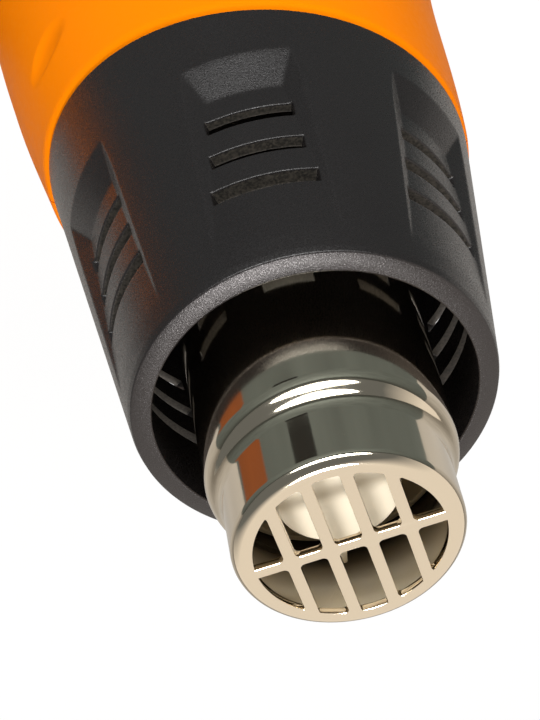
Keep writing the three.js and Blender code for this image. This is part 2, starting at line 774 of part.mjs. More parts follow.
function pocketTool() {
  return loft([
    pocketSection(POCKET_REAR, -POCKET_FADE, POCKET_REAR_WIDTH / 2),
    pocketSection(POCKET_RAMP_FOOT, POCKET_DEPTH, POCKET_RAMP_FOOT_WIDTH / 2),
    pocketSection(POCKET_FRONT, -POCKET_FADE, POCKET_FRONT_WIDTH / 2),
  ]);
}

function slotTool(row) {
  const setback = SLOT_FRONT + row * SLOT_PITCH;
  const z = rimZ - setback;
  const floorRadius = guardRadiusAt(z) - pocketDepth(setback);
  const half = Math.asin((pocketHalfWidth(setback) - SEAT_GAP) / floorRadius);
  const [inner, outer] = [floorRadius - 3 * GUARD_WALL, floorRadius + 3 * GUARD_WALL];
  return sector(inner, outer, 0, half, z - SLOT_WIDTH / 2, z + SLOT_WIDTH / 2);
}

function addGuard() {
  const rearZ = spigotRearZ;
  const cone = revolve([
    [guardRadiusAt(rearZ) - GUARD_WALL, rearZ],
    [guardRadiusAt(rearZ), rearZ],
    [GUARD_MOUTH_RADIUS, rimZ],
    [GUARD_MOUTH_RADIUS - GUARD_WALL, rimZ],
  ]).intersect(frontRegion(SEAT_GAP));
  const spigotTopZ = partLine(-BARREL_RADIUS) + GUARD_SPIGOT_OVERLAP;
  const spigotRadius = (z) => barrelAt(z).radius - Math.abs(barrelAt(z).drop) - BARREL_WALL - SEAT_GAP;
  const ledgeBore = NOZZLE_REAR_RADIUS + SEAT_GAP;
  const ledgeTopZ = rearZ + GUARD_LEDGE_THICKNESS;
  const spigot = revolve([
    [ledgeBore, rearZ],
    [spigotRadius(rearZ), rearZ],
    [spigotRadius(partZ), partZ],
    [spigotRadius(spigotTopZ), spigotTopZ],
    [spigotRadius(spigotTopZ) - GUARD_SPIGOT_WALL, spigotTopZ],
    [spigotRadius(ledgeTopZ) - GUARD_SPIGOT_WALL, ledgeTopZ],
    [ledgeBore, ledgeTopZ],
  ]);
  const pocket = pocketTool();
  const slots = Array.from({ length: SLOT_ROWS }, (_, row) => slotTool(row));
  const tools = Array.from({ length: POCKET_COUNT }, (_, i) => {
    const angle = -Math.PI / 2 + (2 * Math.PI * i) / POCKET_COUNT;
    return [pocket, ...slots].map((shape) => turned(shape, angle));
  }).flat();
  const screwHoles = flangeScrewAngles().map((angle) => (
    turned(disc(FLANGE_SCREW_RADIUS + SEAT_GAP, rearZ - OVERCUT, ledgeTopZ + OVERCUT, SCREW_FACETS)
      .translate([NOZZLE_SCREW_CIRCLE, 0, 0]), angle)
  ));
  piece('nose_guard', cut(join(cone, spigot), ...tools, ...screwHoles), blackPlastic);
}

function flangeScrewAngles() {
  return Array.from({ length: NOZZLE_SCREW_COUNT }, (_, i) => (2 * Math.PI * i) / NOZZLE_SCREW_COUNT);
}

// Outlet nozzle

const flangeTopZ = spigotRearZ - SEAT_GAP;
const flangeRearZ = flangeTopZ - NOZZLE_FLANGE_THICKNESS;
const shoulderZ = faceZ - NOZZLE_FRONT_LENGTH;

function grilleHoles() {
  const half = GRILLE_BAR_WIDTH / 2;
  const bars = Array.from({ length: GRILLE_BAR_COUNT }, (_, i) => (
    (i - (GRILLE_BAR_COUNT - 1) / 2) * GRILLE_BAR_PITCH
  ));
  const edges = [-GRILLE_RADIUS, ...bars.flatMap((x) => [x - half, x + half]), GRILLE_RADIUS];
  const holes = [];
  for (let i = 0; i < edges.length; i += 2) {
    for (const side of [1, -1]) holes.push(grilleHole(edges[i], edges[i + 1], side));
  }
  return holes;
}

function grilleHole(x0, x1, side) {
  const foot = GRILLE_BAR_WIDTH / 2;
  const limit = Math.sqrt(GRILLE_RADIUS ** 2 - foot ** 2);
  const [left, right] = [Math.max(x0, -limit), Math.min(x1, limit)];
  const arcHeight = (x) => Math.sqrt(Math.max(GRILLE_RADIUS ** 2 - x * x, foot ** 2));
  const across = [0, 0.5, 1].map((share) => THREE.MathUtils.lerp(right, left, share));
  const corners = [new THREE.Vector2(left, side * foot), new THREE.Vector2(right, side * foot)];
  across.forEach((x) => corners.push(new THREE.Vector2(x, side * arcHeight(x))));
  const distinct = corners.filter((point, i) => (
    point.distanceTo(corners[(i + corners.length - 1) % corners.length]) > 1e-3
  ));
  return roundedOutline(distinct, GRILLE_CORNER);
}

function addNozzle() {
  const [front, rear] = [NOZZLE_FRONT_RADIUS, NOZZLE_REAR_RADIUS];
  const [wall, round] = [NOZZLE_WALL, NOZZLE_EDGE_ROUND];
  const edge = [0, 45, 90].map(radians).map((turn) => [
    front - round + round * Math.cos(turn),
    faceZ - round + round * Math.sin(turn),
  ]);
  const shell = revolve([
    [rear - wall, flangeRearZ],
    [NOZZLE_FLANGE_RADIUS, flangeRearZ],
    [NOZZLE_FLANGE_RADIUS, flangeTopZ],
    [rear, flangeTopZ],
    [rear, shoulderZ - NOZZLE_SHOULDER_LENGTH],
    [rear - NOZZLE_SHOULDER_ROUND, shoulderZ - NOZZLE_SHOULDER_LENGTH / 2],
    [front, shoulderZ],
    ...edge,
    [0, faceZ],
    [0, faceZ - NOZZLE_FACE_THICKNESS],
    [front - wall, faceZ - NOZZLE_FACE_THICKNESS],
    [front - wall, shoulderZ - wall],
    [rear - wall, shoulderZ - NOZZLE_SHOULDER_LENGTH],
  ]);
  const holes = grilleHoles().map((outline) => {
    const hole = prism(outline, faceZ - 2 * NOZZLE_FACE_THICKNESS, faceZ + OVERCUT, HOLE_STEPS);
    return turned(hole, radians(GRILLE_TURN_DEG));
  });
  const screwHoles = flangeScrewAngles().map((angle) => (
    turned(disc(FLANGE_SCREW_RADIUS + SEAT_GAP, flangeRearZ - OVERCUT, flangeTopZ + OVERCUT, SCREW_FACETS)
      .translate([NOZZLE_SCREW_CIRCLE, 0, 0]), angle)
  ));
  piece('outlet_nozzle', cut(shell, ...holes, ...screwHoles), chromePlate);
}

function addFlangeScrews() {
  const reach = NOZZLE_FLANGE_THICKNESS + GUARD_LEDGE_THICKNESS;
  flangeScrewAngles().forEach((angle, i) => {
    const body = screw(FLANGE_SCREW_RADIUS, FLANGE_SCREW_HEAD_RADIUS, FLANGE_SCREW_HEAD_HEIGHT, reach)
      .rotate([180, 0, 0])
      .translate([NOZZLE_SCREW_CIRCLE, 0, flangeRearZ - SEAT_GAP]);
    piece(`nozzle_screw_${i + 1}`, turned(body, angle), bareSteel);
  });
}

// Air baffle: a round plate on two thin legs that stand on one mica plate

const sleeveTopZ = shoulderZ - NOZZLE_SHOULDER_LENGTH - SEAT_GAP;
const sleeveRadius = NOZZLE_REAR_RADIUS - NOZZLE_WALL - SEAT_GAP;
const plateTopZ = sleeveTopZ - SEAT_GAP;
const plateRearZ = sleeveTopZ - MICA_SLEEVE_LENGTH;

function addBaffle() {
  const topZ = faceZ - BAFFLE_SETBACK;
  const rearZ = topZ - BAFFLE_THICKNESS;
  const edge = BAFFLE_THICKNESS / 2;
  const plate = revolve([
    [0, rearZ],
    [BAFFLE_RADIUS - edge, rearZ],
    [BAFFLE_RADIUS, rearZ + edge],
    [BAFFLE_RADIUS - edge, topZ],
    [0, topZ],
  ], MIDDLE_FACETS);
  const leg = join(
    block(
      [BAFFLE_RADIUS / 2, -BAFFLE_LEG_WIDTH / 2, topZ - edge - BAFFLE_LEG_THICKNESS / 2],
      [BAFFLE_LEG_RADIUS, BAFFLE_LEG_WIDTH / 2, topZ - edge + BAFFLE_LEG_THICKNESS / 2],
    ),
    block(
      [BAFFLE_LEG_RADIUS - BAFFLE_LEG_THICKNESS, -BAFFLE_LEG_WIDTH / 2, plateTopZ + SEAT_GAP],
      [BAFFLE_LEG_RADIUS, BAFFLE_LEG_WIDTH / 2, topZ - edge + BAFFLE_LEG_THICKNESS / 2],
    ),
  );
  const legs = Array.from({ length: BAFFLE_LEG_COUNT }, (_, i) => (
    turned(leg, radians(90 + ELEMENT_TURN_DEG) + (2 * Math.PI * i) / BAFFLE_LEG_COUNT)
  ));
  piece('air_baffle', join(plate, ...legs), mica);
}

// Heating element: a mica sleeve round two slotted mica plates that cross, with two wound coils

const coilHeight = COIL_TURNS * COIL_PITCH;
const coilInnerRadius = COIL_RADIUS * Math.cos(Math.PI / COIL_STEPS_PER_TURN) - COIL_TUBE_RADIUS;

class Helix extends THREE.Curve {
  constructor(startZ) {
    super();
    this.startZ = startZ;
  }

  getPoint(share, target = new THREE.Vector3()) {
    const angle = 2 * Math.PI * COIL_TURNS * share;
    const z = this.startZ + coilHeight * share;
    return target.set(COIL_RADIUS * Math.cos(angle), COIL_RADIUS * Math.sin(angle), z);
  }
}

function leastGap(curve) {
  const points = curve.getPoints(COIL_TURNS * COIL_STEPS_PER_TURN);
  let least = Infinity;
  points.forEach((point, i) => {
    for (let j = i + COIL_STEPS_PER_TURN / 2; j < points.length; j += 1) {
      least = Math.min(least, point.distanceTo(points[j]));
    }
  });
  return least - 2 * COIL_TUBE_RADIUS;
}

function micaPlate(slotFromFront) {
  const wide = MICA_PLATE_WIDTH / 2;
  const narrow = coilInnerRadius - SEAT_GAP;
  const slotHalf = MICA_THICKNESS / 2 + SEAT_GAP;
  const middleZ = (plateTopZ + plateRearZ) / 2;
  const outline = new THREE.Shape();
  const rearCollar = plateRearZ + MICA_COLLAR_LENGTH;
  const frontCollar = plateTopZ - MICA_COLLAR_LENGTH;
  outline.moveTo(-wide, plateRearZ);
  if (!slotFromFront) {
    outline.lineTo(-slotHalf, plateRearZ);
    outline.lineTo(-slotHalf, middleZ + SEAT_GAP);
    outline.lineTo(slotHalf, middleZ + SEAT_GAP);
    outline.lineTo(slotHalf, plateRearZ);
  }
  outline.lineTo(wide, plateRearZ);
  outline.lineTo(wide, rearCollar);
  outline.lineTo(narrow, rearCollar);
  outline.lineTo(narrow, frontCollar);
  outline.lineTo(wide, frontCollar);
  outline.lineTo(wide, plateTopZ);
  if (slotFromFront) {
    outline.lineTo(slotHalf, plateTopZ);
    outline.lineTo(slotHalf, middleZ - SEAT_GAP);
    outline.lineTo(-slotHalf, middleZ - SEAT_GAP);
    outline.lineTo(-slotHalf, plateTopZ);
  }
  outline.lineTo(-wide, plateTopZ);
  outline.lineTo(-wide, frontCollar);
  outline.lineTo(-narrow, frontCollar);
  outline.lineTo(-narrow, rearCollar);
  outline.lineTo(-wide, rearCollar);
  outline.closePath();
  return sidePrism(outline, -MICA_THICKNESS / 2, MICA_THICKNESS / 2);
}

function coil(startZ) {
  const section = new THREE.Shape();
  section.absarc(0, 0, COIL_TUBE_RADIUS, 0, 2 * Math.PI, false);
  const points = section.getPoints(COIL_SIDES).slice(0, COIL_SIDES);
  const curve = new Helix(startZ);
  const options = { steps: COIL_TURNS * COIL_STEPS_PER_TURN, bevelEnabled: false, extrudePath: curve };
  return { shape: solid(new THREE.ExtrudeGeometry(new THREE.Shape(points), options)), gap: leastGap(curve) };
}

function addHeater() {
  piece('mica_sleeve', ring(sleeveRadius - MICA_THICKNESS, sleeveRadius, plateRearZ, sleeveTopZ), mica);
  piece('mica_plate_a', turned(micaPlate(true), radians(ELEMENT_TURN_DEG)), mica);
  piece('mica_plate_b', turned(micaPlate(false), radians(90 + ELEMENT_TURN_DEG)), mica);
  const margin = MICA_COLLAR_LENGTH + COIL_TUBE_RADIUS + 2 * SEAT_GAP;
  const coils = {
    heating_coil_rear: plateRearZ + margin,
    heating_coil_front: plateTopZ - margin - coilHeight,
  };
  for (const [name, startZ] of Object.entries(coils)) {
    const { shape, gap } = coil(startZ);
    console.log(`${name}: least gap to itself ${gap.toFixed(2)} mm`);
    piece(name, shape, resistanceWire);
  }
  const cutoutTop = plateRearZ - SEAT_GAP;
  piece('thermal_cutout', revolve([
    [0, cutoutTop - CUTOUT_HEIGHT],
    [CUTOUT_BASE_RADIUS, cutoutTop - CUTOUT_HEIGHT],
    [CUTOUT_BASE_RADIUS, cutoutTop - CUTOUT_HEIGHT + CUTOUT_BASE_HEIGHT],
    [CUTOUT_RADIUS, cutoutTop - CUTOUT_HEIGHT + CUTOUT_BASE_HEIGHT],
    [CUTOUT_RADIUS, cutoutTop],
    [0, cutoutTop],
  ], SMALL_FACETS), bareSteel);
}

// Fan, motor and duct

const cupRadius = MOTOR_RADIUS + SEAT_GAP;
const cupRearZ = ductEndZ - DUCT_VANE_LENGTH - CUP_FLOOR;
const motorRearZ = cupRearZ + CUP_FLOOR + SEAT_GAP;
const motorTopZ = motorRearZ + MOTOR_LENGTH;
const fanTopZ = cupRearZ - 2 * SEAT_GAP;
const fanRearZ = fanTopZ - FAN_HEIGHT;

function addDuct() {
  const wall = ring(DUCT_RADIUS - DUCT_WALL, DUCT_RADIUS, ductZ, ductEndZ);
  const cup = revolve([
    [MOTOR_NOSE_RADIUS + SEAT_GAP, cupRearZ],
    [cupRadius + CUP_WALL, cupRearZ],
    [cupRadius + CUP_WALL, cupRearZ + CUP_LENGTH],
    [cupRadius, cupRearZ + CUP_LENGTH],
    [cupRadius, cupRearZ + CUP_FLOOR],
    [MOTOR_NOSE_RADIUS + SEAT_GAP, cupRearZ + CUP_FLOOR],
  ]);
  const vane = block(
    [cupRadius + CUP_WALL / 2, -DUCT_VANE_THICKNESS / 2, ductEndZ - DUCT_VANE_LENGTH],
    [DUCT_RADIUS - DUCT_WALL / 2, DUCT_VANE_THICKNESS / 2, ductEndZ],
  );
  const vanes = Array.from({ length: DUCT_VANE_COUNT }, (_, i) => (
    turned(vane, (2 * Math.PI * i) / DUCT_VANE_COUNT)
  ));
  piece('fan_duct', join(wall, cup, ...vanes), blackPlastic);
}

function bladeRing(radius, pitch, chord) {
  const half = FAN_BLADE_THICKNESS / 2;
  const camber = chord * FAN_BLADE_CAMBER;
  const along = [-0.5, 0, 0.5];
  const sides = [along.map((u) => [u, half]), along.toReversed().map((u) => [u, -half])].flat();
  return sides.map(([u, offset]) => {
    const bow = offset + camber * (1 - 4 * u * u);
    const tangent = u * chord * Math.cos(pitch) - bow * Math.sin(pitch);
    const axial = u * chord * Math.sin(pitch) + bow * Math.cos(pitch);
    const angle = tangent / radius;
    return new THREE.Vector3(radius * Math.cos(angle), radius * Math.sin(angle), axial);
  });
}

function addFan() {
  const tip = DUCT_RADIUS - DUCT_WALL - FAN_TIP_GAP;
  const middleZ = (fanTopZ + fanRearZ) / 2;
  const hub = revolve([
    [SHAFT_RADIUS + RUN_GAP, fanRearZ],
    [FAN_NOSE_RADIUS, fanRearZ],
    [FAN_HUB_RADIUS, fanRearZ + FAN_NOSE_HEIGHT],
    [FAN_HUB_RADIUS, fanTopZ],
    [SHAFT_RADIUS + RUN_GAP, fanTopZ],
  ], MIDDLE_FACETS);
  const blade = loft([0, 0.5, 1].map((share) => {
    const radius = THREE.MathUtils.lerp(FAN_HUB_RADIUS - FAN_BLADE_THICKNESS / 2, tip, share);
    const pitch = radians(THREE.MathUtils.lerp(FAN_BLADE_ROOT_DEG, FAN_BLADE_TIP_DEG, share));
    return bladeRing(radius, pitch, FAN_BLADE_HEIGHT / Math.sin(pitch));
  })).translate([0, 0, middleZ]);
  const blades = Array.from({ length: FAN_BLADE_COUNT }, (_, i) => (
    turned(blade, (2 * Math.PI * i) / FAN_BLADE_COUNT)
  ));
  piece('fan_impeller', join(hub, ...blades), fanPlastic);
  const shaft = disc(SHAFT_RADIUS, fanRearZ - SHAFT_PROUD, motorRearZ + SHAFT_GRIP, SMALL_FACETS);
  piece('motor_shaft', shaft, bareSteel);
}

function addMotor() {
  const bore = SHAFT_RADIUS + RUN_GAP;
  piece('motor_bush', ring(bore, MOTOR_NOSE_RADIUS, cupRearZ, motorRearZ - SEAT_GAP, SMALL_FACETS), bronze);
  const can = revolve([
    [0, motorTopZ],
    [MOTOR_RADIUS, motorTopZ],
    [MOTOR_RADIUS, motorRearZ + MOTOR_EDGE],
    [MOTOR_RADIUS - MOTOR_EDGE, motorRearZ],
    [bore, motorRearZ],
    [bore, motorRearZ + SHAFT_GRIP + SHAFT_END_GAP],
    [0, motorRearZ + SHAFT_GRIP + SHAFT_END_GAP],
  ], MIDDLE_FACETS);
  piece('motor_can', can, bareSteel);
  const capRear = motorTopZ + SEAT_GAP;
  const cap = disc(MOTOR_CAP_RADIUS, capRear, capRear + MOTOR_CAP_LENGTH, MIDDLE_FACETS);
  const half = BOARD_PILLAR_THICKNESS / 2;
  const pillars = [1, -1].map((side) => block(
    [-BOARD_PILLAR, side * BOARD_PILLAR_OFFSET - half, capRear + MOTOR_CAP_LENGTH - OVERCUT],
    [BOARD_PILLAR, side * BOARD_PILLAR_OFFSET + half, capRear + MOTOR_CAP_LENGTH + BOARD_PILLAR],
  ));
  piece('motor_end_cap', join(cap, ...pillars), blackPlastic);
  const boardZ = capRear + MOTOR_CAP_LENGTH + BOARD_PILLAR + SEAT_GAP;
  piece('diode_board', disc(BOARD_RADIUS, boardZ, boardZ + BOARD_THICKNESS, MIDDLE_FACETS), boardGreen);
  const diodeZ = boardZ + BOARD_THICKNESS + SEAT_GAP + DIODE_RADIUS;
  [-1.5, -0.5, 0.5, 1.5].forEach((step, i) => {
    const place = [step * (2 * DIODE_RADIUS + DIODE_SPACING), diodeZ];
    const diode = crossRod(DIODE_RADIUS, place, -DIODE_LENGTH / 2, DIODE_LENGTH / 2);
    piece(`diode_${i + 1}`, diode, blackPlastic);
  });
}

// Rear cover: a slotted cup held by a lip inside the housing

function addRearCover() {
  const topZ = jointZ - SEAT_GAP;
  const flangeZ = jointZ + REAR_LIP_THICKNESS + SEAT_GAP;
  const outer = [0, 45, 90].map(radians).map((turn) => [
    FOOT_RADIUS + REAR_EDGE_ROUND * Math.sin(turn),
    REAR_EDGE_ROUND * (1 - Math.cos(turn)),
  ]);
  const cavityRadius = FOOT_RADIUS + REAR_EDGE_ROUND - REAR_WALL;
  const cup = revolve([
    [0, 0],
    ...outer,
    [BARREL_TAIL_RADIUS, topZ],
    [REAR_SPIGOT_RADIUS, topZ],
    [REAR_SPIGOT_RADIUS, flangeZ],
    [REAR_FLANGE_RADIUS, flangeZ],
    [REAR_FLANGE_RADIUS, flangeZ + REAR_FLANGE_THICKNESS],
    [REAR_SPIGOT_RADIUS - REAR_WALL, flangeZ + REAR_FLANGE_THICKNESS],
    [REAR_SPIGOT_RADIUS - REAR_WALL, topZ - REAR_WALL],
    [cavityRadius, topZ - 2 * REAR_WALL],
    [cavityRadius, REAR_FLOOR + REAR_EDGE_ROUND / 2],
    [FOOT_RADIUS - REAR_WALL, REAR_FLOOR],
    [0, REAR_FLOOR],
  ]);
  const sideSlot = block(
    [cavityRadius - REAR_WALL, -SIDE_SLOT_WIDTH / 2, SIDE_SLOT_START],
    [BARREL_TAIL_RADIUS + OVERCUT, SIDE_SLOT_WIDTH / 2, SIDE_SLOT_START + SIDE_SLOT_LENGTH],
  );
  const tailSlot = block(
    [TAIL_SLOT_INNER, -TAIL_SLOT_WIDTH / 2, -OVERCUT],
    [TAIL_SLOT_OUTER, TAIL_SLOT_WIDTH / 2, REAR_FLOOR + OVERCUT],
  );
  const around = (shape, count) => Array.from({ length: count }, (_, i) => (
    turned(shape, (2 * Math.PI * i) / count)
  ));
  const slots = [...around(sideSlot, SIDE_SLOT_COUNT), ...around(tailSlot, TAIL_SLOT_COUNT)];
  piece('rear_cover', cut(cup, ...slots), blackPlastic);
}

// Slide switch: at rest the cap lies at the butt end of its recess

function addSwitch() {
  const floor = -SWITCH_RECESS + SLIDE_GAP;
  const restX = SWITCH_TRAVEL / 2;
  const outline = new THREE.Shape();
  const [half, top] = [SWITCH_CAP_LENGTH / 2, floor + SWITCH_CAP_HEIGHT];
  const [shoulder, lean] = [SWITCH_CAP_SHOULDER, SWITCH_CAP_LEAN];
  outline.moveTo(-half, floor);
  outline.lineTo(half, floor);
  outline.lineTo(half, top - shoulder);
  outline.quadraticCurveTo(half - lean, top, half - shoulder, top);
  outline.quadraticCurveTo(0, top - SWITCH_CAP_DISH, -half + shoulder, top);
  outline.quadraticCurveTo(-half + lean, top, -half, top - shoulder);
  outline.closePath();
  const cap = sidePrism(outline, -SWITCH_CAP_WIDTH / 2, SWITCH_CAP_WIDTH / 2);
  const grooveFloor = top - SWITCH_CAP_DISH / 2 - SWITCH_GROOVE_DEPTH;
  const grooves = Array.from({ length: SWITCH_GROOVE_COUNT }, (_, i) => {
    const x = (i - (SWITCH_GROOVE_COUNT - 1) / 2) * SWITCH_GROOVE_PITCH;
    return block(
      [x - SWITCH_GROOVE_WIDTH / 2, -SWITCH_CAP_WIDTH, grooveFloor],
      [x + SWITCH_GROOVE_WIDTH / 2, SWITCH_CAP_WIDTH, top + OVERCUT],
    );
  });
  const stemFoot = switchBodyTop - SWITCH_STEM_BITE;
  const stem = block(
    [-SWITCH_STEM_LENGTH / 2, -SWITCH_STEM_WIDTH / 2, stemFoot],
    [SWITCH_STEM_LENGTH / 2, SWITCH_STEM_WIDTH / 2, floor + OVERCUT],
  );
  const slider = join(cut(cap, ...grooves), stem).translate([restX, 0, 0]);
  piece('switch_slider', onHandle(slider), blackPlastic);

  const width = SWITCH_BODY_WIDTH / 2;
  const corners = [
    [-SWITCH_BODY_LENGTH / 2, switchBodyTop - SWITCH_BODY_HEIGHT],
    [SWITCH_BODY_LENGTH / 2, switchBodyTop - SWITCH_BODY_HEIGHT],
    [SWITCH_BODY_LENGTH / 2, switchBodyTop],
    [-SWITCH_BODY_LENGTH / 2, switchBodyTop],
  ].map(([x, z]) => new THREE.Vector2(x, z));
  const groove = block(
    [-stemSlotLength / 2, -stemSlotWidth / 2, stemFoot - SLIDE_GAP],
    [stemSlotLength / 2, stemSlotWidth / 2, switchBodyTop + OVERCUT],
  );
  const body = cut(sidePrism(roundedOutline(corners, SWITCH_CHAMFER), -width, width), groove);
  piece('switch_body', onHandle(body), blackPlastic);
}

addHousing();
addHousingScrews();
addGland();
addGuard();
addNozzle();
addFlangeScrews();
addBaffle();
addHeater();
addDuct();
addFan();
addMotor();
addRearCover();
addSwitch();

export default tool;
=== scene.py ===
# %% [markdown]
# A hot air tool stands on its tail, and the camera looks down on its nose. The measured model is loaded
# first as a fixed frame. Every visible piece is then modelled over it in metres, in the same place, and
# rides on the body that carries it. Nothing here changes a size: this file is about form and finish.

# %% Load the measured model
import math

import bmesh
import bpy
import numpy as np
from mathutils import Matrix, Vector


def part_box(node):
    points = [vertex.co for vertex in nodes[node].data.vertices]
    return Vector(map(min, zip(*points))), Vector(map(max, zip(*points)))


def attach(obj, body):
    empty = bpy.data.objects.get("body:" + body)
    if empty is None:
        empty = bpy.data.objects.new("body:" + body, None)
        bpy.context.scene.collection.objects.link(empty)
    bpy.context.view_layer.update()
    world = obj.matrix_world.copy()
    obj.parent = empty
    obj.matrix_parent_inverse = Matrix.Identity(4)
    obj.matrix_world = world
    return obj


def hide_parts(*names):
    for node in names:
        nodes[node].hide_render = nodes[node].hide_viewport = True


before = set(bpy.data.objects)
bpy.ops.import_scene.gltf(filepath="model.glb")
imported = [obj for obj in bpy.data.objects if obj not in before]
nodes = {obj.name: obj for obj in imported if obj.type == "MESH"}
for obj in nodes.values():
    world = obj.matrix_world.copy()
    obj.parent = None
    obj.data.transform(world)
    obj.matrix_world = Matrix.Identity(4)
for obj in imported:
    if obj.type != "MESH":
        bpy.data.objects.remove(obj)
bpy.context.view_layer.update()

MM = 0.001
scene = bpy.context.scene
print("nodes in the frame:", len(nodes))

# %% [markdown]
# The camera stands in front of the nozzle on the tool's right side, and it is rolled so that the nozzle
# points down the picture. Its three axes were found by matching round edges of known size, so they are
# written out here as directions. A long lens keeps the perspective as flat as a product picture has it.
# The small helper serves everything that is added from here on: an operator acts on all that is selected,
# so nothing else may be.

# %% Camera
CAMERA_PLACE = Vector((0.0008, -0.2069, 0.4482))
CAMERA_RIGHT = Vector((-0.9731, 0.1826, 0.1405))
CAMERA_UP = Vector((-0.2299, -0.7291, -0.6446))
CAMERA_LENS, CAMERA_SENSOR, CAMERA_NEAR = 100, 36, 0.01


def added(name, operator, **settings):
    bpy.ops.object.select_all(action="DESELECT")
    operator(**settings)
    bpy.context.object.name = name
    return bpy.context.object


camera = added("portrait_camera", bpy.ops.object.camera_add)
camera_back = CAMERA_RIGHT.cross(CAMERA_UP)
camera_turn = Matrix((CAMERA_RIGHT, CAMERA_UP, camera_back)).transposed().to_4x4()
camera.matrix_world = Matrix.Translation(CAMERA_PLACE) @ camera_turn
camera.data.lens = CAMERA_LENS
camera.data.sensor_width = CAMERA_SENSOR
camera.data.clip_start = CAMERA_NEAR
scene.camera = camera
print("camera looks along", [round(x, 3) for x in -camera_back])

# %% [markdown]
# Materials are small node graphs. This helper starts one with a plain Principled shader and sets on its
# own sockets whatever is the same all over the surface. What varies, such as grain or smudges, is added by
# the finish that needs it, always on Object coordinates, because every piece sits at the origin.

# %% Start of a finish
def principled(material):
    return material.node_tree.nodes["Principled BSDF"]


def new_finish(name, color, roughness, metallic=0.0, specular=0.5, specular_tint=(1, 1, 1)):
    material = bpy.data.materials.new(name)
    material.use_nodes = True
    shader = principled(material)
    shader.inputs["Base Color"].default_value = (*color, 1)
    shader.inputs["Roughness"].default_value = roughness
    shader.inputs["Metallic"].default_value = metallic
    shader.inputs["Specular IOR Level"].default_value = specular
    shader.inputs["Specular Tint"].default_value = (*specular_tint, 1)
    print("finish:", name)
    return material


def node(material, kind, **settings):
    made = material.node_tree.nodes.new(kind)
    for key, value in settings.items():
        if key in made.inputs:
            made.inputs[key].default_value = value
        else:
            setattr(made, key, value)
    return made


def wire(material, source, target):
    material.node_tree.links.new(source, target)


# %% [markdown]
# No real surface is quite even. Its tone drifts, smudges break its gloss, and a fine relief roughens it. An
# image could carry all that, but it would need unwrapping and would blur close up. A noise does neither: its
# scale is given in waves per metre, so it can be set from the real grain, and one socket of the shader
# follows it. Depths of relief are in millimetres.

# %% Patterns
FACTOR, COLOR_A, COLOR_B, COLOR_OUT = 0, 6, 7, 2


def noise(material, scale, detail, roughness=0.5):
    place = node(material, "ShaderNodeTexCoord")
    made = node(material, "ShaderNodeTexNoise", Scale=scale, Detail=detail, Roughness=roughness)
    wire(material, place.outputs["Object"], made.inputs["Vector"])
    return made.outputs["Fac"]


def ramp(material, source, low, high, at):
    made = node(material, "ShaderNodeMapRange")
    made.inputs["From Min"].default_value, made.inputs["From Max"].default_value = at
    made.inputs["To Min"].default_value, made.inputs["To Max"].default_value = low, high
    wire(material, source, made.inputs["Value"])
    return made.outputs["Result"]


def blended(material, source, first, second):
    made = node(material, "ShaderNodeMix", data_type="RGBA")
    made.inputs[COLOR_A].default_value = (*first, 1)
    made.inputs[COLOR_B].default_value = (*second, 1)
    wire(material, source, made.inputs[FACTOR])
    return made.outputs[COLOR_OUT]


# %% The sockets that patterns drive
def tint(material, source, first, second):
    wire(material, blended(material, source, first, second), principled(material).inputs["Base Color"])


def cloudy(material, scale, detail, first, second, roughness=0.5):
    tint(material, noise(material, scale, detail, roughness), first, second)


def smudged(material, scale, detail, low, high, at=(0.3, 0.7)):
    gloss = ramp(material, noise(material, scale, detail), low, high, at)
    wire(material, gloss, principled(material).inputs["Roughness"])


def grained(material, scale, detail, depth, strength, roughness=0.5):
    relief = noise(material, scale, detail, roughness)
    bump = node(material, "ShaderNodeBump", Strength=strength, Distance=depth * MM)
    wire(material, relief, bump.inputs["Height"])
    wire(material, bump.outputs["Normal"], principled(material).inputs["Normal"])


# %% [markdown]
# Turned and moulded round pieces all start in the same way: half of the section is traced point by point
# with the extrude tool, and the line is spun round the barrel's axis. That is quicker and cleaner than
# cutting a cylinder, and the spacing of the points decides where the mesh is fine. The plane that the
# operator adds is only a way to get a first point.

# %% Spin a traced section
WELD = 1e-6


def traced(name, section):
    piece = added(name, bpy.ops.mesh.primitive_plane_add, size=MM)
    bpy.ops.object.mode_set(mode="EDIT")
    bpy.ops.mesh.select_mode(type="VERT")
    bpy.ops.mesh.select_all(action="SELECT")
    bpy.ops.mesh.merge(type="CENTER")
    bpy.ops.transform.translate(value=(section[0][0] * MM, 0, section[0][1] * MM))
    for (r0, z0), (r1, z1) in zip(section, section[1:]):
        step = ((r1 - r0) * MM, 0, (z1 - z0) * MM)
        bpy.ops.mesh.extrude_region_move(TRANSFORM_OT_translate={"value": step})
    bpy.ops.mesh.select_all(action="SELECT")
    return piece


def clean(weld=WELD):
    bpy.ops.mesh.select_all(action="SELECT")
    bpy.ops.mesh.remove_doubles(threshold=weld)
    bpy.ops.mesh.normals_make_consistent(inside=False)


def spun(name, section, steps, angle=2 * math.pi):
    piece = traced(name, section)
    bpy.ops.mesh.spin(steps=steps, angle=angle, center=(0, 0, 0), axis=(0, 0, 1))
    clean()
    bpy.ops.object.mode_set(mode="OBJECT")
    print(name, "points:", len(section), "in the section,", len(piece.data.vertices), "in all")
    return piece


# %% Points of a section
def arc(center, radius, first, last, count):
    turns = [math.radians(first + (last - first) * i / count) for i in range(count + 1)]
    return [(center[0] + radius * math.cos(t), center[1] + radius * math.sin(t)) for t in turns]


def between(first, last, step):
    count = max(1, math.ceil(abs(last - first) / step))
    return [first + (last - first) * i / count for i in range(count + 1)]


# %% [markdown]
# The guard is the hardest piece. It is a tapered tube with six shallow pockets, each with three slots for
# cooling air. A pocket dives in steeply at its rear, then its floor rises slowly until it fades out before
# the rim, and its sides lean outwards. One sixth of the guard is modelled and then spun round as copies,
# so each pocket is the same.

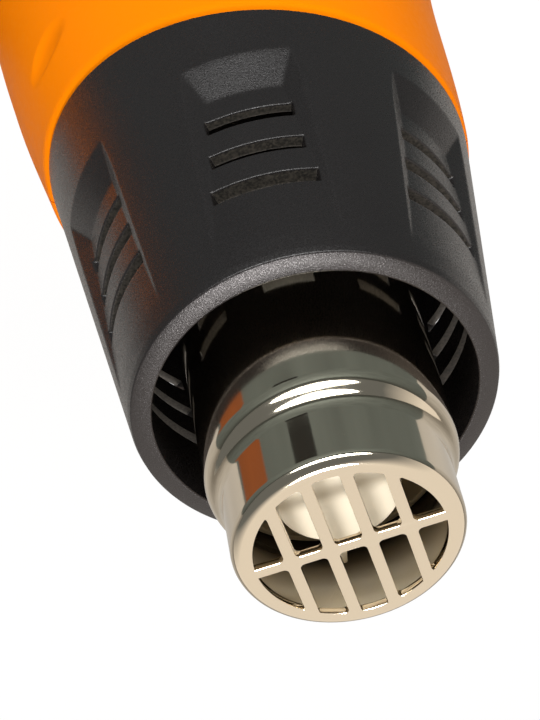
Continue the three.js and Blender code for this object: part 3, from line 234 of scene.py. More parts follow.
# %% Shape of a pocket, in millimetres
RIM_Z = 224.6
MOUTH_RADIUS, REAR_RADIUS, CONE_LENGTH = 28.5, 35.8, 57.3
TAPER = (REAR_RADIUS - MOUTH_RADIUS) / CONE_LENGTH
POCKET_DEPTH = 2.1
POCKET_FRONT, POCKET_FOOT, POCKET_REAR = 5.6, 39.6, 46.4
POCKET_HALF_FRONT, POCKET_HALF_FOOT, POCKET_HALF_REAR = 9.6, 9.545, 9.05
POCKET_SIDE_SLOPE = 1.45
FOOT_BLEND, SIDE_BLEND, EDGE_BLEND = 0.1, 0.14, 0.08


def guard_radius(z):
    return MOUTH_RADIUS + TAPER * (RIM_Z - z)


def soft_min(a, b, reach):
    overlap = max(reach - abs(a - b), 0.0)
    return min(a, b) - overlap * overlap / (4 * reach)


def pocket_depth(setback, across):
    """How far the pocket lies under the cone, at a place behind the rim and beside the pocket's middle."""
    floor = POCKET_DEPTH * (setback - POCKET_FRONT) / (POCKET_FOOT - POCKET_FRONT)
    rise = POCKET_DEPTH * (POCKET_REAR - setback) / (POCKET_REAR - POCKET_FOOT)
    if setback < POCKET_FOOT:
        share = (setback - POCKET_FRONT) / (POCKET_FOOT - POCKET_FRONT)
        half = POCKET_HALF_FRONT + share * (POCKET_HALF_FOOT - POCKET_HALF_FRONT)
    else:
        share = (setback - POCKET_FOOT) / (POCKET_REAR - POCKET_FOOT)
        half = POCKET_HALF_FOOT + share * (POCKET_HALF_REAR - POCKET_HALF_FOOT)
    side = (half - abs(across)) / POCKET_SIDE_SLOPE
    depth = soft_min(soft_min(floor, rise, FOOT_BLEND), side, SIDE_BLEND)
    return -soft_min(-depth, 0.0, EDGE_BLEND)


print("pocket depth at its foot:", round(pocket_depth(POCKET_FOOT, 0), 2))

# %% Heights of the guard's rows
SLOTS = [(17.65, 16), (25.65, 14), (33.75, 13)]  # distance behind the rim, half angle in degrees
SLOT_WIDTH = 2.85
RIM_DROP, BORE_FROM, BORE_TO = 0.98, 172.5, RIM_Z - 0.4
CREASE_ROWS = (-0.2, 0, 0.2)
slot_edges = sorted(RIM_Z - setback + side * SLOT_WIDTH / 2 for setback, _ in SLOTS for side in (-1, 1))
slide_from = RIM_Z - POCKET_REAR - 1.5
creases = [RIM_Z - crease - offset for crease in (POCKET_FOOT, POCKET_REAR) for offset in CREASE_ROWS]
outer_breaks = [RIM_Z - RIM_DROP, *reversed(slot_edges), *creases, slide_from]
inner_breaks = [BORE_FROM, *slot_edges, BORE_TO]


def rows(breaks, step):
    heights = [breaks[0]]
    for first, last in zip(breaks, breaks[1:]):
        crosses_slot = abs(abs(first - last) - SLOT_WIDTH) < 1e-6
        heights += between(first, last, SLOT_WIDTH / 4 if crosses_slot else step)[1:]
    return heights


print("edges of the slots at", [round(z, 2) for z in slot_edges])

# %% Trace the guard's section
WALL = 3.3
RIM_ROUND_IN, RIM_ROUND_OUT, RIM_SLOPE = 0.3, 0.4, 77
GUARD_REAR_Z = 163.0
SPIGOT, SPIGOT_BORE = 32.6, 30.4
LEDGE_Z, LEDGE, LEDGE_BORE = 144.2, 3, 19.3
SKIN_ROWS, REAR_ROWS, BORE_ROWS = 0.6, 2.5, 4.0

section = arc((MOUTH_RADIUS - WALL + RIM_ROUND_IN, RIM_Z - RIM_ROUND_IN), RIM_ROUND_IN, 180, RIM_SLOPE, 3)
section += arc((MOUTH_RADIUS - RIM_ROUND_OUT, RIM_Z - RIM_DROP), RIM_ROUND_OUT, RIM_SLOPE, 0, 4)
section += [(guard_radius(z), z) for z in rows(outer_breaks, SKIN_ROWS)[1:]]
section += [(guard_radius(z), z) for z in between(slide_from, GUARD_REAR_Z, REAR_ROWS)[1:]]
section += [(SPIGOT, z) for z in (GUARD_REAR_Z, 152.0, LEDGE_Z)]
section += [(LEDGE_BORE, LEDGE_Z), (LEDGE_BORE, LEDGE_Z + LEDGE)]
section += [(SPIGOT_BORE, LEDGE_Z + LEDGE), (SPIGOT_BORE, 171.6), (30.9, 172.2)]
section += [(guard_radius(z) - WALL, z) for z in rows(inner_breaks, BORE_ROWS)]
section.append(section[0])
print("points in the guard's section:", len(section))

# %% One sixth of the guard, with its pocket
SIXTH_STEPS = 120
POCKET_TURN = math.radians(-30)


def polar(vertex):
    x, y, z = vertex.co / MM
    return math.hypot(x, y), math.atan2(y, x), z


def placed(radius, turn, z, shift=0.0):
    return Vector((shift + radius * math.cos(turn), radius * math.sin(turn), z)) * MM


guard = spun("nose_guard_shell", section, SIXTH_STEPS, math.radians(60))
for vertex in guard.data.vertices:
    radius, turn, z = polar(vertex)
    if GUARD_REAR_Z < z < RIM_Z - 0.6 and radius > guard_radius(z) - 0.5:
        radius -= pocket_depth(RIM_Z - z, radius * math.sin(turn - POCKET_TURN))
        vertex.co = placed(radius, turn, z)

# %% [markdown]
# The section has rows of points exactly at the edges of each slot, so a slot is cut by deleting its faces
# on the outer and the inner skin and bridging the two holes. The outer edge of every slot is then bevelled
# a little: a moulded edge is never sharp, and that thin round is what catches the light. A boolean cut
# would do as well, but it would leave long thin triangles in the pocket's floor.

# %% Cut the slots
SLOT_MARGIN = 0.02


def in_slots(center, margin=0.0, slots=SLOTS):
    turn = (math.degrees(math.atan2(center.y, center.x) - POCKET_TURN) + 30) % 60 - 30
    behind = RIM_Z - center.z / MM
    return any(
        abs(turn) < half_turn + margin and abs(behind - setback) < SLOT_WIDTH / 2 + margin
        for setback, half_turn in slots
    )


def middle_of(edge):
    return (edge.verts[0].co + edge.verts[1].co) / 2


bpy.ops.object.mode_set(mode="EDIT")
bpy.ops.mesh.select_mode(type="FACE")
for face in bmesh.from_edit_mesh(guard.data).faces:
    face.select_set(in_slots(face.calc_center_median()))
bpy.ops.mesh.delete(type="FACE")
bpy.ops.mesh.select_mode(type="EDGE")
for slot in SLOTS:
    bpy.ops.mesh.select_all(action="DESELECT")
    for edge in bmesh.from_edit_mesh(guard.data).edges:
        edge.select_set(len(edge.link_faces) == 1 and in_slots(middle_of(edge), SLOT_MARGIN, [slot]))
    bpy.ops.mesh.bridge_edge_loops()
print("slots in one pocket:", len(SLOTS))

# %% Round the slots' outer edges
SLOT_ROUND, SLOT_EDGE_ANGLE, SKIN_REACH = 0.26, 0.9, 2.6
bpy.ops.mesh.select_all(action="DESELECT")
rounded = 0
for edge in bmesh.from_edit_mesh(guard.data).edges:
    middle = middle_of(edge)
    outside = middle.xy.length / MM > guard_radius(middle.z / MM) - SKIN_REACH
    sharp = len(edge.link_faces) == 2 and edge.calc_face_angle() > SLOT_EDGE_ANGLE
    if outside and sharp and in_slots(middle, SLOT_MARGIN):
        edge.select_set(True)
        rounded += 1
bpy.ops.mesh.bevel(offset=SLOT_ROUND * MM, segments=3, affect="EDGES")
print("slot edges rounded:", rounded)

# %% Copies round the axis
bpy.ops.mesh.select_all(action="SELECT")
bpy.ops.mesh.spin(steps=5, angle=math.radians(300), center=(0, 0, 0), axis=(0, 0, 1), dupli=True)
clean()
bpy.ops.object.mode_set(mode="OBJECT")
print("faces of the guard:", len(guard.data.polygons))

# %% [markdown]
# The line where the orange housing meets the guard leans towards the handle and bows a little. The rear
# rows of the guard are slid along the cone until the last one lies just in front of that line. Cutting the
# cone with a curved blade would give the same edge, but with uneven faces along it.

# %% Rear edge of the guard
PART_Z, PART_LEAN, PART_BOW = 167.3, math.tan(math.radians(8.8)), 0.0025
SEAT_GAP = 0.3


def part_line(x):
    return PART_Z - PART_LEAN * x - PART_BOW * x * x


for vertex in guard.data.vertices:
    radius, turn, z = polar(vertex)
    if GUARD_REAR_Z - 0.01 < z < slide_from and radius > SPIGOT - 0.01:
        share = (slide_from - z) / (slide_from - GUARD_REAR_Z)
        edge_z = part_line(REAR_RADIUS * math.cos(turn)) + SEAT_GAP
        z = slide_from + share * (edge_z - slide_from)
        if radius > SPIGOT + 0.5:
            radius = guard_radius(z)
        vertex.co = placed(radius, turn, z)
print("guard begins between", round(part_line(REAR_RADIUS), 1), "and", round(part_line(-REAR_RADIUS), 1))

# %% [markdown]
# The nose guard and the rear cover are black plastic from a spark-eroded mould: a fine, even grain of
# about a fifth of a millimetre that scatters light and sparkles a little where the light grazes it. Three
# noises make it: one for the grain's height, one for a gloss that changes from grain to grain, and one for
# a slow change of tone from handling.

# %% Black grained plastic
black_plastic = new_finish(
    "black_grained_plastic", (0.014, 0.0135, 0.014), 0.5, specular_tint=(1.0, 0.94, 0.93)
)
cloudy(black_plastic, 28, 3, (0.010, 0.0082, 0.0084), (0.016, 0.0133, 0.0133))
smudged(black_plastic, 4000, 2, 0.2, 0.4, at=(0.35, 0.65))
grained(black_plastic, 5000, 2, 0.045, 1.0, roughness=0.6)

# %% [markdown]
# Every piece ends in the same way. It is shaded smooth except at its sharp edges, gets its finish, is hung on
# the body that carries it, and the measured node that it stands for is hidden. One helper does this, so that
# no piece can miss a step.

# %% Finish the guard
def active(piece):
    bpy.ops.object.select_all(action="DESELECT")
    piece.select_set(True)
    bpy.context.view_layer.objects.active = piece


def finished(piece, body, finish, slot, *replaced, smooth=35):
    active(piece)
    bpy.ops.object.shade_smooth_by_angle(angle=math.radians(smooth))
    piece.data.materials.clear()
    piece.data.materials.append(finish)
    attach(piece, body)
    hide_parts(*replaced)
    triangles = sum(len(face.vertices) - 2 for face in piece.data.polygons)
    print(piece.name, "triangles:", triangles)


finished(guard, "body", black_plastic, "black_plastic", "nose_guard")

# %% [markdown]
# The walls of the slots get a lighter, browner and more matt colour than the skin, with fine flecks in it.
# This colour is painted light: it stands for the light and its warm bounce that fall on these walls. A second
# finish could be painted on with a mask, but the walls are faces of their own. It is simpler to pick them by
# their place and by the way they face, and to give them the second material slot.

# %% Painted light on the slots' walls
WALL_FACING, WALL_MARGIN = 0.75, 0.01
wall_light_finish = new_finish("slot_wall_painted_light", (0.05, 0.042, 0.032), 0.6)
flecks = ramp(wall_light_finish, noise(wall_light_finish, 2600, 3), 0, 1, at=(0.35, 0.65))
# The lighter brown of the walls is painted light, not a colour of the plastic.
tint(wall_light_finish, flecks, (0.014, 0.0115, 0.0095), (0.085, 0.07, 0.056))
grained(wall_light_finish, 3000, 2, 0.04, 0.8)
guard.data.materials.append(wall_light_finish)
lit_walls = 0
for face in guard.data.polygons:
    if abs(face.normal.z) > WALL_FACING and in_slots(face.center, WALL_MARGIN):
        face.material_index = 1
        lit_walls += 1
print("dusty faces:", lit_walls)

# %% [markdown]
# The outlet nozzle is one drawn tube: a wide rear part, a rounded shoulder and a narrower front part that
# push-on nozzles slip over. Its section is traced and spun, open at the top, and the grille plate closes it.
# The shoulder is two arcs that meet in a slope. Extra rows close to the arcs hold the straight parts
# straight, because a mirror shows even a slight bend of the shading.

# %% Nozzle tube
FACE_Z, FACE_ROUND = 255.0, 1.8
PLATE, PLATE_ROUND = 1.2, 0.9
GRILLE_EDGE = 15.2
NOZZLE_STEPS = 192
TUBE_FRONT, TUBE_REAR = 17.0, 19.0
FLANGE, FLANGE_TOP, FLANGE_REAR = 27.0, 143.9, 142.7
SHOULDER_Z, SHOULDER_LEAN, HOLD = 241.6, 38, 0.1
SHOULDER_ROUND = (TUBE_REAR - TUBE_FRONT) / 2 / (1 - math.cos(math.radians(SHOULDER_LEAN)))
half_shoulder = SHOULDER_ROUND * math.sin(math.radians(SHOULDER_LEAN))
shoulder_front, shoulder_rear = SHOULDER_Z + half_shoulder, SHOULDER_Z - half_shoulder

outer = arc((GRILLE_EDGE, FACE_Z - FACE_ROUND), FACE_ROUND, 90, 0, 8)
outer += [(TUBE_FRONT, z) for z in (253.1, 249.0, shoulder_front + HOLD)]
outer += arc((TUBE_FRONT + SHOULDER_ROUND, shoulder_front), SHOULDER_ROUND, 180, 180 + SHOULDER_LEAN, 8)
outer += arc((TUBE_REAR - SHOULDER_ROUND, shoulder_rear), SHOULDER_ROUND, SHOULDER_LEAN, 0, 8)[1:]
outer += [(TUBE_REAR, z) for z in (shoulder_rear - HOLD, 230.0, 215.0, 190.0, FLANGE_TOP)]
outer += [(FLANGE, FLANGE_TOP), (FLANGE, FLANGE_REAR)]
inner = [(18.1, FLANGE_REAR), (18.1, 190.0), (18.1, 238.2), (17.7, 239.8), (17.1, 241.2), (16.5, 242.6)]
inner += [(16.1, 244.2), (16.1, 248.0)]
inner += arc((GRILLE_EDGE, FACE_Z - PLATE - PLATE_ROUND), PLATE_ROUND, 0, 90, 4)
nozzle = spun("outlet_nozzle_tube", outer + inner, NOZZLE_STEPS)

# %% [markdown]
# The grille is stamped: ten holes between four long bars and one cross bar. By hand it is easiest to make
# the shape of the holes: a disc is cut by five bars, the upright corners of what is left are rounded, and
# the result is taken out of a round plate. The new Manifold solver is quick and exact on closed meshes.

# %% Cutting one closed mesh with another
def combine(piece, tool, operation):
    active(piece)
    cut = piece.modifiers.new("combine", "BOOLEAN")
    cut.operation = operation
    cut.solver = "MANIFOLD"
    cut.object = tool
    bpy.ops.object.modifier_apply(modifier=cut.name)
    print(piece.name, operation.lower(), tool.name, "faces:", len(piece.data.polygons))
    bpy.data.objects.remove(tool)


def block(name, low, high):
    piece = added(name, bpy.ops.mesh.primitive_cube_add, size=1)
    for vertex in piece.data.vertices:
        vertex.co = Vector([(b if c > 0 else a) * MM for a, b, c in zip(low, high, vertex.co)])
    return piece


def rod(name, radius, z0, z1, sides=64):
    size = {"vertices": sides, "radius": radius * MM, "depth": (z1 - z0) * MM}
    piece = added(name, bpy.ops.mesh.primitive_cylinder_add, **size)
    for vertex in piece.data.vertices:
        vertex.co.z += (z0 + z1) / 2 * MM
    return piece


# %% Rounding chosen edges, and turning a piece
def bevelled(piece, wanted, offset, segments):
    """Bevels the edges of a piece that the function wanted picks."""
    active(piece)
    bpy.ops.object.mode_set(mode="EDIT")
    bpy.ops.mesh.select_mode(type="EDGE")
    bpy.ops.mesh.select_all(action="DESELECT")
    picked = 0
    for edge in bmesh.from_edit_mesh(piece.data).edges:
        if len(edge.link_faces) == 2 and wanted(edge):
            edge.select_set(True)
            picked += 1
    bpy.ops.mesh.bevel(offset=offset * MM, segments=segments, affect="EDGES")
    bpy.ops.object.mode_set(mode="OBJECT")
    print(piece.name, "edges bevelled:", picked)


def runs_along(edge, axis):
    along = edge.verts[1].co - edge.verts[0].co
    return abs(along["xyz".index(axis)]) > 0.9 * along.length


def upright_corner(edge):
    return runs_along(edge, "z") and edge.calc_face_angle() > 0.5


def turned(piece, degrees):
    turn = Matrix.Rotation(math.radians(degrees), 3, "Z")
    for vertex in piece.data.vertices:
        vertex.co = turn @ vertex.co
    return piece


# %% Holes of the grille
GRILLE_RADIUS, GRILLE_TURN = 14.0, 5.9
BAR_HALF, BAR_PITCH, BAR_REACH = 0.9, 5.82, 20
HOLE_CORNER = 0.75
holes = rod("grille_holes", GRILLE_RADIUS, FACE_Z - 3, FACE_Z + 2, sides=96)
bars = [((i - 1.5) * BAR_PITCH, BAR_HALF, BAR_REACH) for i in range(4)]
bars.append((0, BAR_REACH, BAR_HALF))
for x, half_x, half_y in bars:
    low, high = (x - half_x, -half_y, FACE_Z - 4), (x + half_x, half_y, FACE_Z + 3)
    combine(holes, block("grille_bar", low, high), "DIFFERENCE")
bevelled(holes, upright_corner, HOLE_CORNER, 5)
turned(holes, GRILLE_TURN)

# %% Grille plate
HOLE_ROUND = 0.14
plate = rod("grille_plate", GRILLE_EDGE, FACE_Z - PLATE, FACE_Z, sides=NOZZLE_STEPS)
combine(plate, holes, "DIFFERENCE")


def hole_rim(edge):
    inside = middle_of(edge).xy.length < (GRILLE_RADIUS + 0.3) * MM
    flat = abs(edge.verts[0].co.z - edge.verts[1].co.z) < 1e-6
    return inside and flat and edge.calc_face_angle() > 1.0


bevelled(plate, hole_rim, HOLE_ROUND, 2)

# %% [markdown]
# Plate and tube are one pressing on the real tool, so they become one closed mesh. The plate's outer wall
# is deleted, which leaves two open rims with the same points as the tube's two open ends, and merging by
# distance sews them together. A boolean union would do it too, but it would triangulate the bright face.

# %% Join the plate to the tube
PLATE_WELD = 2e-5


def joined(pieces):
    active(pieces[0])
    for piece in pieces:
        piece.select_set(True)
    bpy.ops.object.join()
    return pieces[0]


active(plate)
bpy.ops.object.mode_set(mode="EDIT")
bpy.ops.mesh.select_mode(type="FACE")
bpy.ops.mesh.select_all(action="DESELECT")
for face in bmesh.from_edit_mesh(plate.data).faces:
    rim = face.calc_center_median().xy.length > (GRILLE_EDGE - 0.1) * MM
    face.select_set(rim and abs(face.normal.z) < 0.1)
bpy.ops.mesh.delete(type="FACE")
bpy.ops.object.mode_set(mode="OBJECT")
joined([nozzle, plate])
bpy.ops.object.mode_set(mode="EDIT")
clean(PLATE_WELD)
bpy.ops.object.mode_set(mode="OBJECT")
print("faces of the nozzle:", len(nozzle.data.polygons))

# %% [markdown]
# The outlet is drawn steel with a bright nickel-chrome plate. The plate is a clean mirror, but the tube
# under it is never perfect: faint waves from drawing bend the reflections, and thin smudges dull them in
# patches. Both are kept low so that the tube still reads as bright metal.

# %% Bright plate
bright_plate = new_finish("bright_plate", (0.74, 0.645, 0.51), 0.08, metallic=1.0)
smudged(bright_plate, 60, 4, 0.05, 0.13, at=(0.35, 0.75))
grained(bright_plate, 140, 7, 0.04, 0.22, roughness=0.6)
finished(nozzle, "body", bright_plate, "chrome", "outlet_nozzle", smooth=30)

# %% [markdown]
# Plating hardly reaches the inside of a tube, so the inner wall is duller. Its colour is pale near the grille
# and darkens further in; that darkening is painted shade, the light falling off deeper inside the tube. The
# tone follows the height along the barrel, which a Separate XYZ node takes from the Object coordinates.

# %% Dull plate inside the tube
DARK_BELOW, PALE_ABOVE = 0.24, 0.2505
INSIDE_FROM = 15.9


def height_in(material):
    place = node(material, "ShaderNodeTexCoord")
    parts = node(material, "ShaderNodeSeparateXYZ")
    wire(material, place.outputs["Object"], parts.inputs[0])
    return parts.outputs["Z"]


dull_plate = new_finish("dull_plate", (0.82, 0.71, 0.55), 0.2, metallic=0.2)
# Painted shade: the wall's colour darkens with depth into the tube.
tube_depth_shade = ramp(dull_plate, height_in(dull_plate), 0, 1, at=(DARK_BELOW, PALE_ABOVE))
tint(dull_plate, tube_depth_shade, (0.08, 0.06, 0.04), (0.97, 0.86, 0.67))
smudged(dull_plate, 200, 3, 0.16, 0.26)
grained(dull_plate, 900, 2, 0.03, 0.5)
nozzle.data.materials.append(dull_plate)
inside_faces = 0
for face in nozzle.data.polygons:
    outwards = face.normal.x * face.center.x + face.normal.y * face.center.y
    if outwards < -0.1 * MM and INSIDE_FROM * MM < face.center.xy.length:
        face.material_index = 1
        inside_faces += 1
print("faces inside the tube:", inside_faces)

# %% [markdown]
# Behind the grille sits a round plate that spreads the air, on two thin legs. Its edge is fully rounded, so
# the section ends in a half circle, and the legs are narrow blocks with softened edges. One leg is made, and
# two turned copies of it are united with the plate.

# %% Air baffle
BAFFLE_TOP, BAFFLE, BAFFLE_FLAT = FACE_Z - 10, 1.2, 8.7
LEG_FOOT, LEG_HALF, LEG_REACH, LEG_TURNS = 236.6, 0.65, 14.4, (83.5, 263.5)


def copied(piece, name):
    active(piece)
    bpy.ops.object.duplicate()
    bpy.context.object.name = name
    return bpy.context.object


section = [(0, BAFFLE_TOP - BAFFLE), (BAFFLE_FLAT, BAFFLE_TOP - BAFFLE)]
section += arc((BAFFLE_FLAT, BAFFLE_TOP - BAFFLE / 2), BAFFLE / 2, -90, 90, 8)[1:]
section += [(4.0, BAFFLE_TOP + 0.1), (0, BAFFLE_TOP + 0.12)]
baffle = spun("air_baffle_plate", section, 96)
leg_end = (LEG_REACH, LEG_HALF, BAFFLE_TOP - 0.1)
leg = block("baffle_leg", (6.0, -LEG_HALF, BAFFLE_TOP - 1.1), leg_end)
combine(leg, block("baffle_leg_down", (LEG_REACH - 1, -LEG_HALF, LEG_FOOT), leg_end), "UNION")
bevelled(leg, lambda edge: edge.calc_face_angle() > 0.8, 0.25, 2)
for turn in LEG_TURNS:
    combine(baffle, turned(copied(leg, "baffle_leg_copy"), turn), "UNION")
bpy.data.objects.remove(leg)

# %% [markdown]
# The plate is pressed from a pale mineral board that stands the heat. It is smooth, with a faint cloudy
# tone and hardly any grain, so its patterns are weak. It has to stay pale: it is the light patch behind the
# bars.

# %% Pale mineral board
pale_board = new_finish("pale_board", (0.95, 0.85, 0.67), 0.35)
cloudy(pale_board, 120, 3, (0.93, 0.82, 0.63), (0.97, 0.88, 0.71))
smudged(pale_board, 500, 2, 0.3, 0.45)
grained(pale_board, 1500, 2, 0.02, 0.5)
finished(baffle, "body", pale_board, "mica", "air_baffle")

# %% [markdown]
# The housing is moulded in two halves that meet at a seam under the barrel and along the handle. Its barrel
# swells and then draws in towards the guard, so its section is a smooth line through five measured places.
# The same kind of line gives the handle's depth and width. A centripetal spline never overshoots between
# the places, which is why it is used here.

# %% Smooth lines through measured places
def through(points, per_span=24):
    first = [2 * a - b for a, b in zip(points[0], points[1])]
    last = [2 * a - b for a, b in zip(points[-1], points[-2])]
    ends = [first, *points, last]
    line = []
    for p0, p1, p2, p3 in zip(ends, ends[1:], ends[2:], ends[3:]):
        d0, d1, d2 = (math.sqrt(math.dist(a, b)) for a, b in ((p0, p1), (p1, p2), (p2, p3)))
        for i in range(per_span):
            t = i / per_span
            place = []
            for x0, x1, x2, x3 in zip(p0, p1, p2, p3):
                m1 = ((x1 - x0) / d0 - (x2 - x0) / (d0 + d1) + (x2 - x1) / d1) * d1
                m2 = ((x2 - x1) / d1 - (x3 - x1) / (d1 + d2) + (x3 - x2) / d2) * d1
                bend = (3 * (x2 - x1) - 2 * m1 - m2) * t * t + (m1 + m2 - 2 * (x2 - x1)) * t**3
                place.append(x1 + m1 * t + bend)
            line.append(place)
    line.append(list(points[-1]))
    return np.array(line)


def read(line, at):
    return [float(np.interp(at, line[:, 0], line[:, i])) for i in (1, 2)]


# Height, radius and shift towards the handle.
barrel_line = through(
    [(24, 39.5, 0), (95, 43.3, 2.1), (130, 40.3, 2.1), (167.3, 36.1, 0), (224.6, 28.8, 0)]
)
# Place along the handle, half depth and half width.
handle_line = through([(14, 36, 24), (62, 22.3, 16), (98, 19.5, 15.6), (161, 22, 17)])
print("barrel at the lip:", read(barrel_line, PART_Z))

# %% [markdown]
# The barrel is traced and spun as one solid, with a round lip at its front. Each row is then moved so that
# the lip follows the leaning line where the guard begins. A shallow lens-shaped dimple on each side is
# pressed in by moving the points there, which keeps its edge as soft as it is on the tool.

# %% Trace the barrel
JOINT_Z = 24.0
LIP, LIP_ROWS = 2.4, 5.0
MAP_FROM = 135.0
BARREL_STEPS = 360
lip_lean = math.atan(read(barrel_line, PART_Z - LIP)[0] - read(barrel_line, PART_Z - LIP + 1)[0])
lip_z = PART_Z - LIP * (1 - math.sin(lip_lean))
lip_radius = read(barrel_line, lip_z)[0] - LIP * math.cos(lip_lean)
heights = between(JOINT_Z, MAP_FROM, 2.5)[:-1] + between(MAP_FROM, lip_z, 0.6)
section = [(0, JOINT_Z), *((read(barrel_line, z)[0], z) for z in heights)]
section += arc((lip_radius, PART_Z - LIP), LIP, math.degrees(lip_lean), 90, 10)[1:]
section.append((0, PART_Z))
housing = spun("housing_skin", section, BARREL_STEPS)

# %% Lean the lip and press the dimples
DIMPLE_Z, DIMPLE_TURN = 146.0, math.radians(37)
DIMPLE_HALF_LENGTH, DIMPLE_HALF_WIDTH, DIMPLE_DEPTH, DIMPLE_FALL = 7.6, 3.5, 1.0, 1.4
SKIN_FROM = 20
pressed = 0
for vertex in housing.data.vertices:
    radius, turn, z = polar(vertex)
    plain = read(barrel_line, z)[0]
    if z > MAP_FROM:
        end = part_line(REAR_RADIUS * math.cos(turn))
        if z > PART_Z - LIP_ROWS:
            z += end - PART_Z
        else:
            share = (z - MAP_FROM) / (PART_Z - LIP_ROWS - MAP_FROM)
            z = MAP_FROM + share * (end - LIP_ROWS - MAP_FROM)
    width, shift = read(barrel_line, z)
    if radius > SKIN_FROM:
        radius += width - plain
        around = (abs(turn) - DIMPLE_TURN) * width / DIMPLE_HALF_LENGTH
        press = 1 - around * around - ((z - DIMPLE_Z) / DIMPLE_HALF_WIDTH) ** 2
        radius -= DIMPLE_DEPTH * max(press, 0) ** DIMPLE_FALL
        pressed += press > 0
    vertex.co = placed(radius, turn, z, shift)
print("points in the dimples:", pressed)

# %% [markdown]
# The handle is a run of rings, each a rounded rectangle. A flat disc is extruded once for every ring, and
# then each ring is laid on its outline. Near the barrel the rings spread out and follow the barrel's
# surface, so the handle flows into it with a fillet, as moulded pieces do.

# %% Loft through rings
def lofted(name, rings):
    count = len(rings[0])
    disc = {"vertices": count, "radius": MM, "fill_type": "NGON"}
    piece = added(name, bpy.ops.mesh.primitive_circle_add, **disc)
    bpy.ops.object.mode_set(mode="EDIT")
    bpy.ops.mesh.select_mode(type="FACE")
    bpy.ops.mesh.select_all(action="SELECT")
    for _ in rings[1:]:
        bpy.ops.mesh.extrude_region_move(TRANSFORM_OT_translate={"value": (0, 0, MM)})
    bpy.ops.object.mode_set(mode="OBJECT")
    for vertex in piece.data.vertices:
        turn = math.atan2(vertex.co.y, vertex.co.x) / (2 * math.pi)
        ring = rings[round(vertex.co.z / MM)]
        vertex.co = Vector(ring[round(turn * count) % count]) * MM
    bpy.ops.object.mode_set(mode="EDIT")
    clean()
    bpy.ops.object.mode_set(mode="OBJECT")
    print(name, "rings:", len(rings))
    return piece


# %% Outline of the handle
HANDLE_SIDES = 128
HANDLE_ROOT_X, HANDLE_ROOT_Z, HANDLE_RAKE = 14, 74, math.radians(14)
HANDLE_POWER = 2.5  # 2 would be an ellipse, and more is squarer


def handle_middle(x):
    return HANDLE_ROOT_Z - math.tan(HANDLE_RAKE) * (x - HANDLE_ROOT_X)


def ring_point(i, depth, width, grow=0.0):
    turn = 2 * math.pi * i / HANDLE_SIDES
    c, s = math.cos(turn), math.sin(turn)
    y = width * math.copysign(abs(c) ** (2 / HANDLE_POWER), c)
    z = depth * math.copysign(abs(s) ** (2 / HANDLE_POWER), s)
    ny = math.copysign(abs(y / width) ** (HANDLE_POWER - 1) / width, y)
    nz = math.copysign(abs(z / depth) ** (HANDLE_POWER - 1) / depth, z)
    length = math.hypot(ny, nz)
    return y + grow * ny / length, z + grow * nz / length


def flat_ring(x, inset=0.0, place=None):
    depth, width = read(handle_line, x)
    points = [ring_point(i, depth - inset, width - inset) for i in range(HANDLE_SIDES)]
    x = x if place is None else place
    return [(x, y, handle_middle(x) + z) for y, z in points]


print("handle's middle at its root and butt:", handle_middle(HANDLE_ROOT_X), round(handle_middle(161), 1))

# %% Rings that flow into the barrel
FILLET = 6.0
ROOT_GUESS, ROOT_ROUNDS = 50.0, 4


def root_ring(swing, sink=0.0):
    """A ring on the fillet. Its distance from the barrel is found by a few rounds of trial."""
    grow, lift = FILLET * (1 - math.cos(swing)), FILLET * (1 - math.sin(swing)) - sink
    ring = []
    for i in range(HANDLE_SIDES):
        x = ROOT_GUESS
        for _ in range(ROOT_ROUNDS):
            y, z = ring_point(i, *read(handle_line, x), grow)
            z += handle_middle(x)
            radius, shift = read(barrel_line, z)
            x = shift + math.sqrt(radius * radius - y * y) + lift
        ring.append((x, y, z))
    return ring


def blended_ring(near, far_x, share):
    ring = []
    for i, (x, _, _) in enumerate(near):
        x += share * (far_x - x)
        y, z = ring_point(i, *read(handle_line, x))
        ring.append((x, y, z + handle_middle(x)))
    return ring


# %% Handle
HANDLE_END, BUTT_ROUND = 161.0, 5.0
STRAIGHT_FROM, ROOT_SINK = 60, 3.0
swings = [math.radians(10 * i) for i in range(9)]
rings = [root_ring(swings[-1], sink=ROOT_SINK)]
rings += [root_ring(swing) for swing in reversed(swings)]
rings += [blended_ring(rings[-1], STRAIGHT_FROM, share) for share in (0.35, 0.7)]
rings += [flat_ring(x) for x in between(STRAIGHT_FROM, HANDLE_END, 3)]
for i in range(1, 7):
    swing = math.radians(15 * i)
    place = HANDLE_END + BUTT_ROUND * math.sin(swing)
    rings.append(flat_ring(HANDLE_END, BUTT_ROUND * (1 - math.cos(swing)), place))
combine(housing, lofted("handle_skin", rings), "UNION")

# %% [markdown]
# The fine groove where the halves meet follows the skin all round, so its tool is made while the housing is
# still one solid. A thin blade stands in the plane of the seam. A copy of the solid, drawn in by the depth
# of the groove, is taken out of the blade, and what is left cuts only that deep. The normals are gathered
# before any point moves, because moving a point makes Blender work them all out again.

# %% Blade for the seam
SEAM_HALF, SEAM_DEPTH = 0.15, 0.6
core = copied(housing, "seam_core")
inward = [-vertex.normal for vertex in core.data.vertices]
for vertex, way in zip(core.data.vertices, inward):
    vertex.co += way * (SEAM_DEPTH * MM)
seam = block("seam_blade", (-100, -SEAM_HALF, -10), (250, SEAM_HALF, 300))
combine(seam, core, "DIFFERENCE")

# %% [markdown]
# The solid is hollowed, as a moulding is: the inside of the barrel and of the handle are taken out. Before
# that a copy is kept to trim the screw posts, which stand inside and reach from the seam to the skin.

# %% Hollow the housing
BARREL_WALL, HANDLE_WALL = 2.6, 3.6
BELOW, ABOVE = 10, 200


def handle_core(name, inset, start, end):
    return lofted(name, [flat_ring(x, inset) for x in between(start, end, 4)])


def bore_radius(z):
    return read(barrel_line, min(z, PART_Z - LIP))[0] - BARREL_WALL


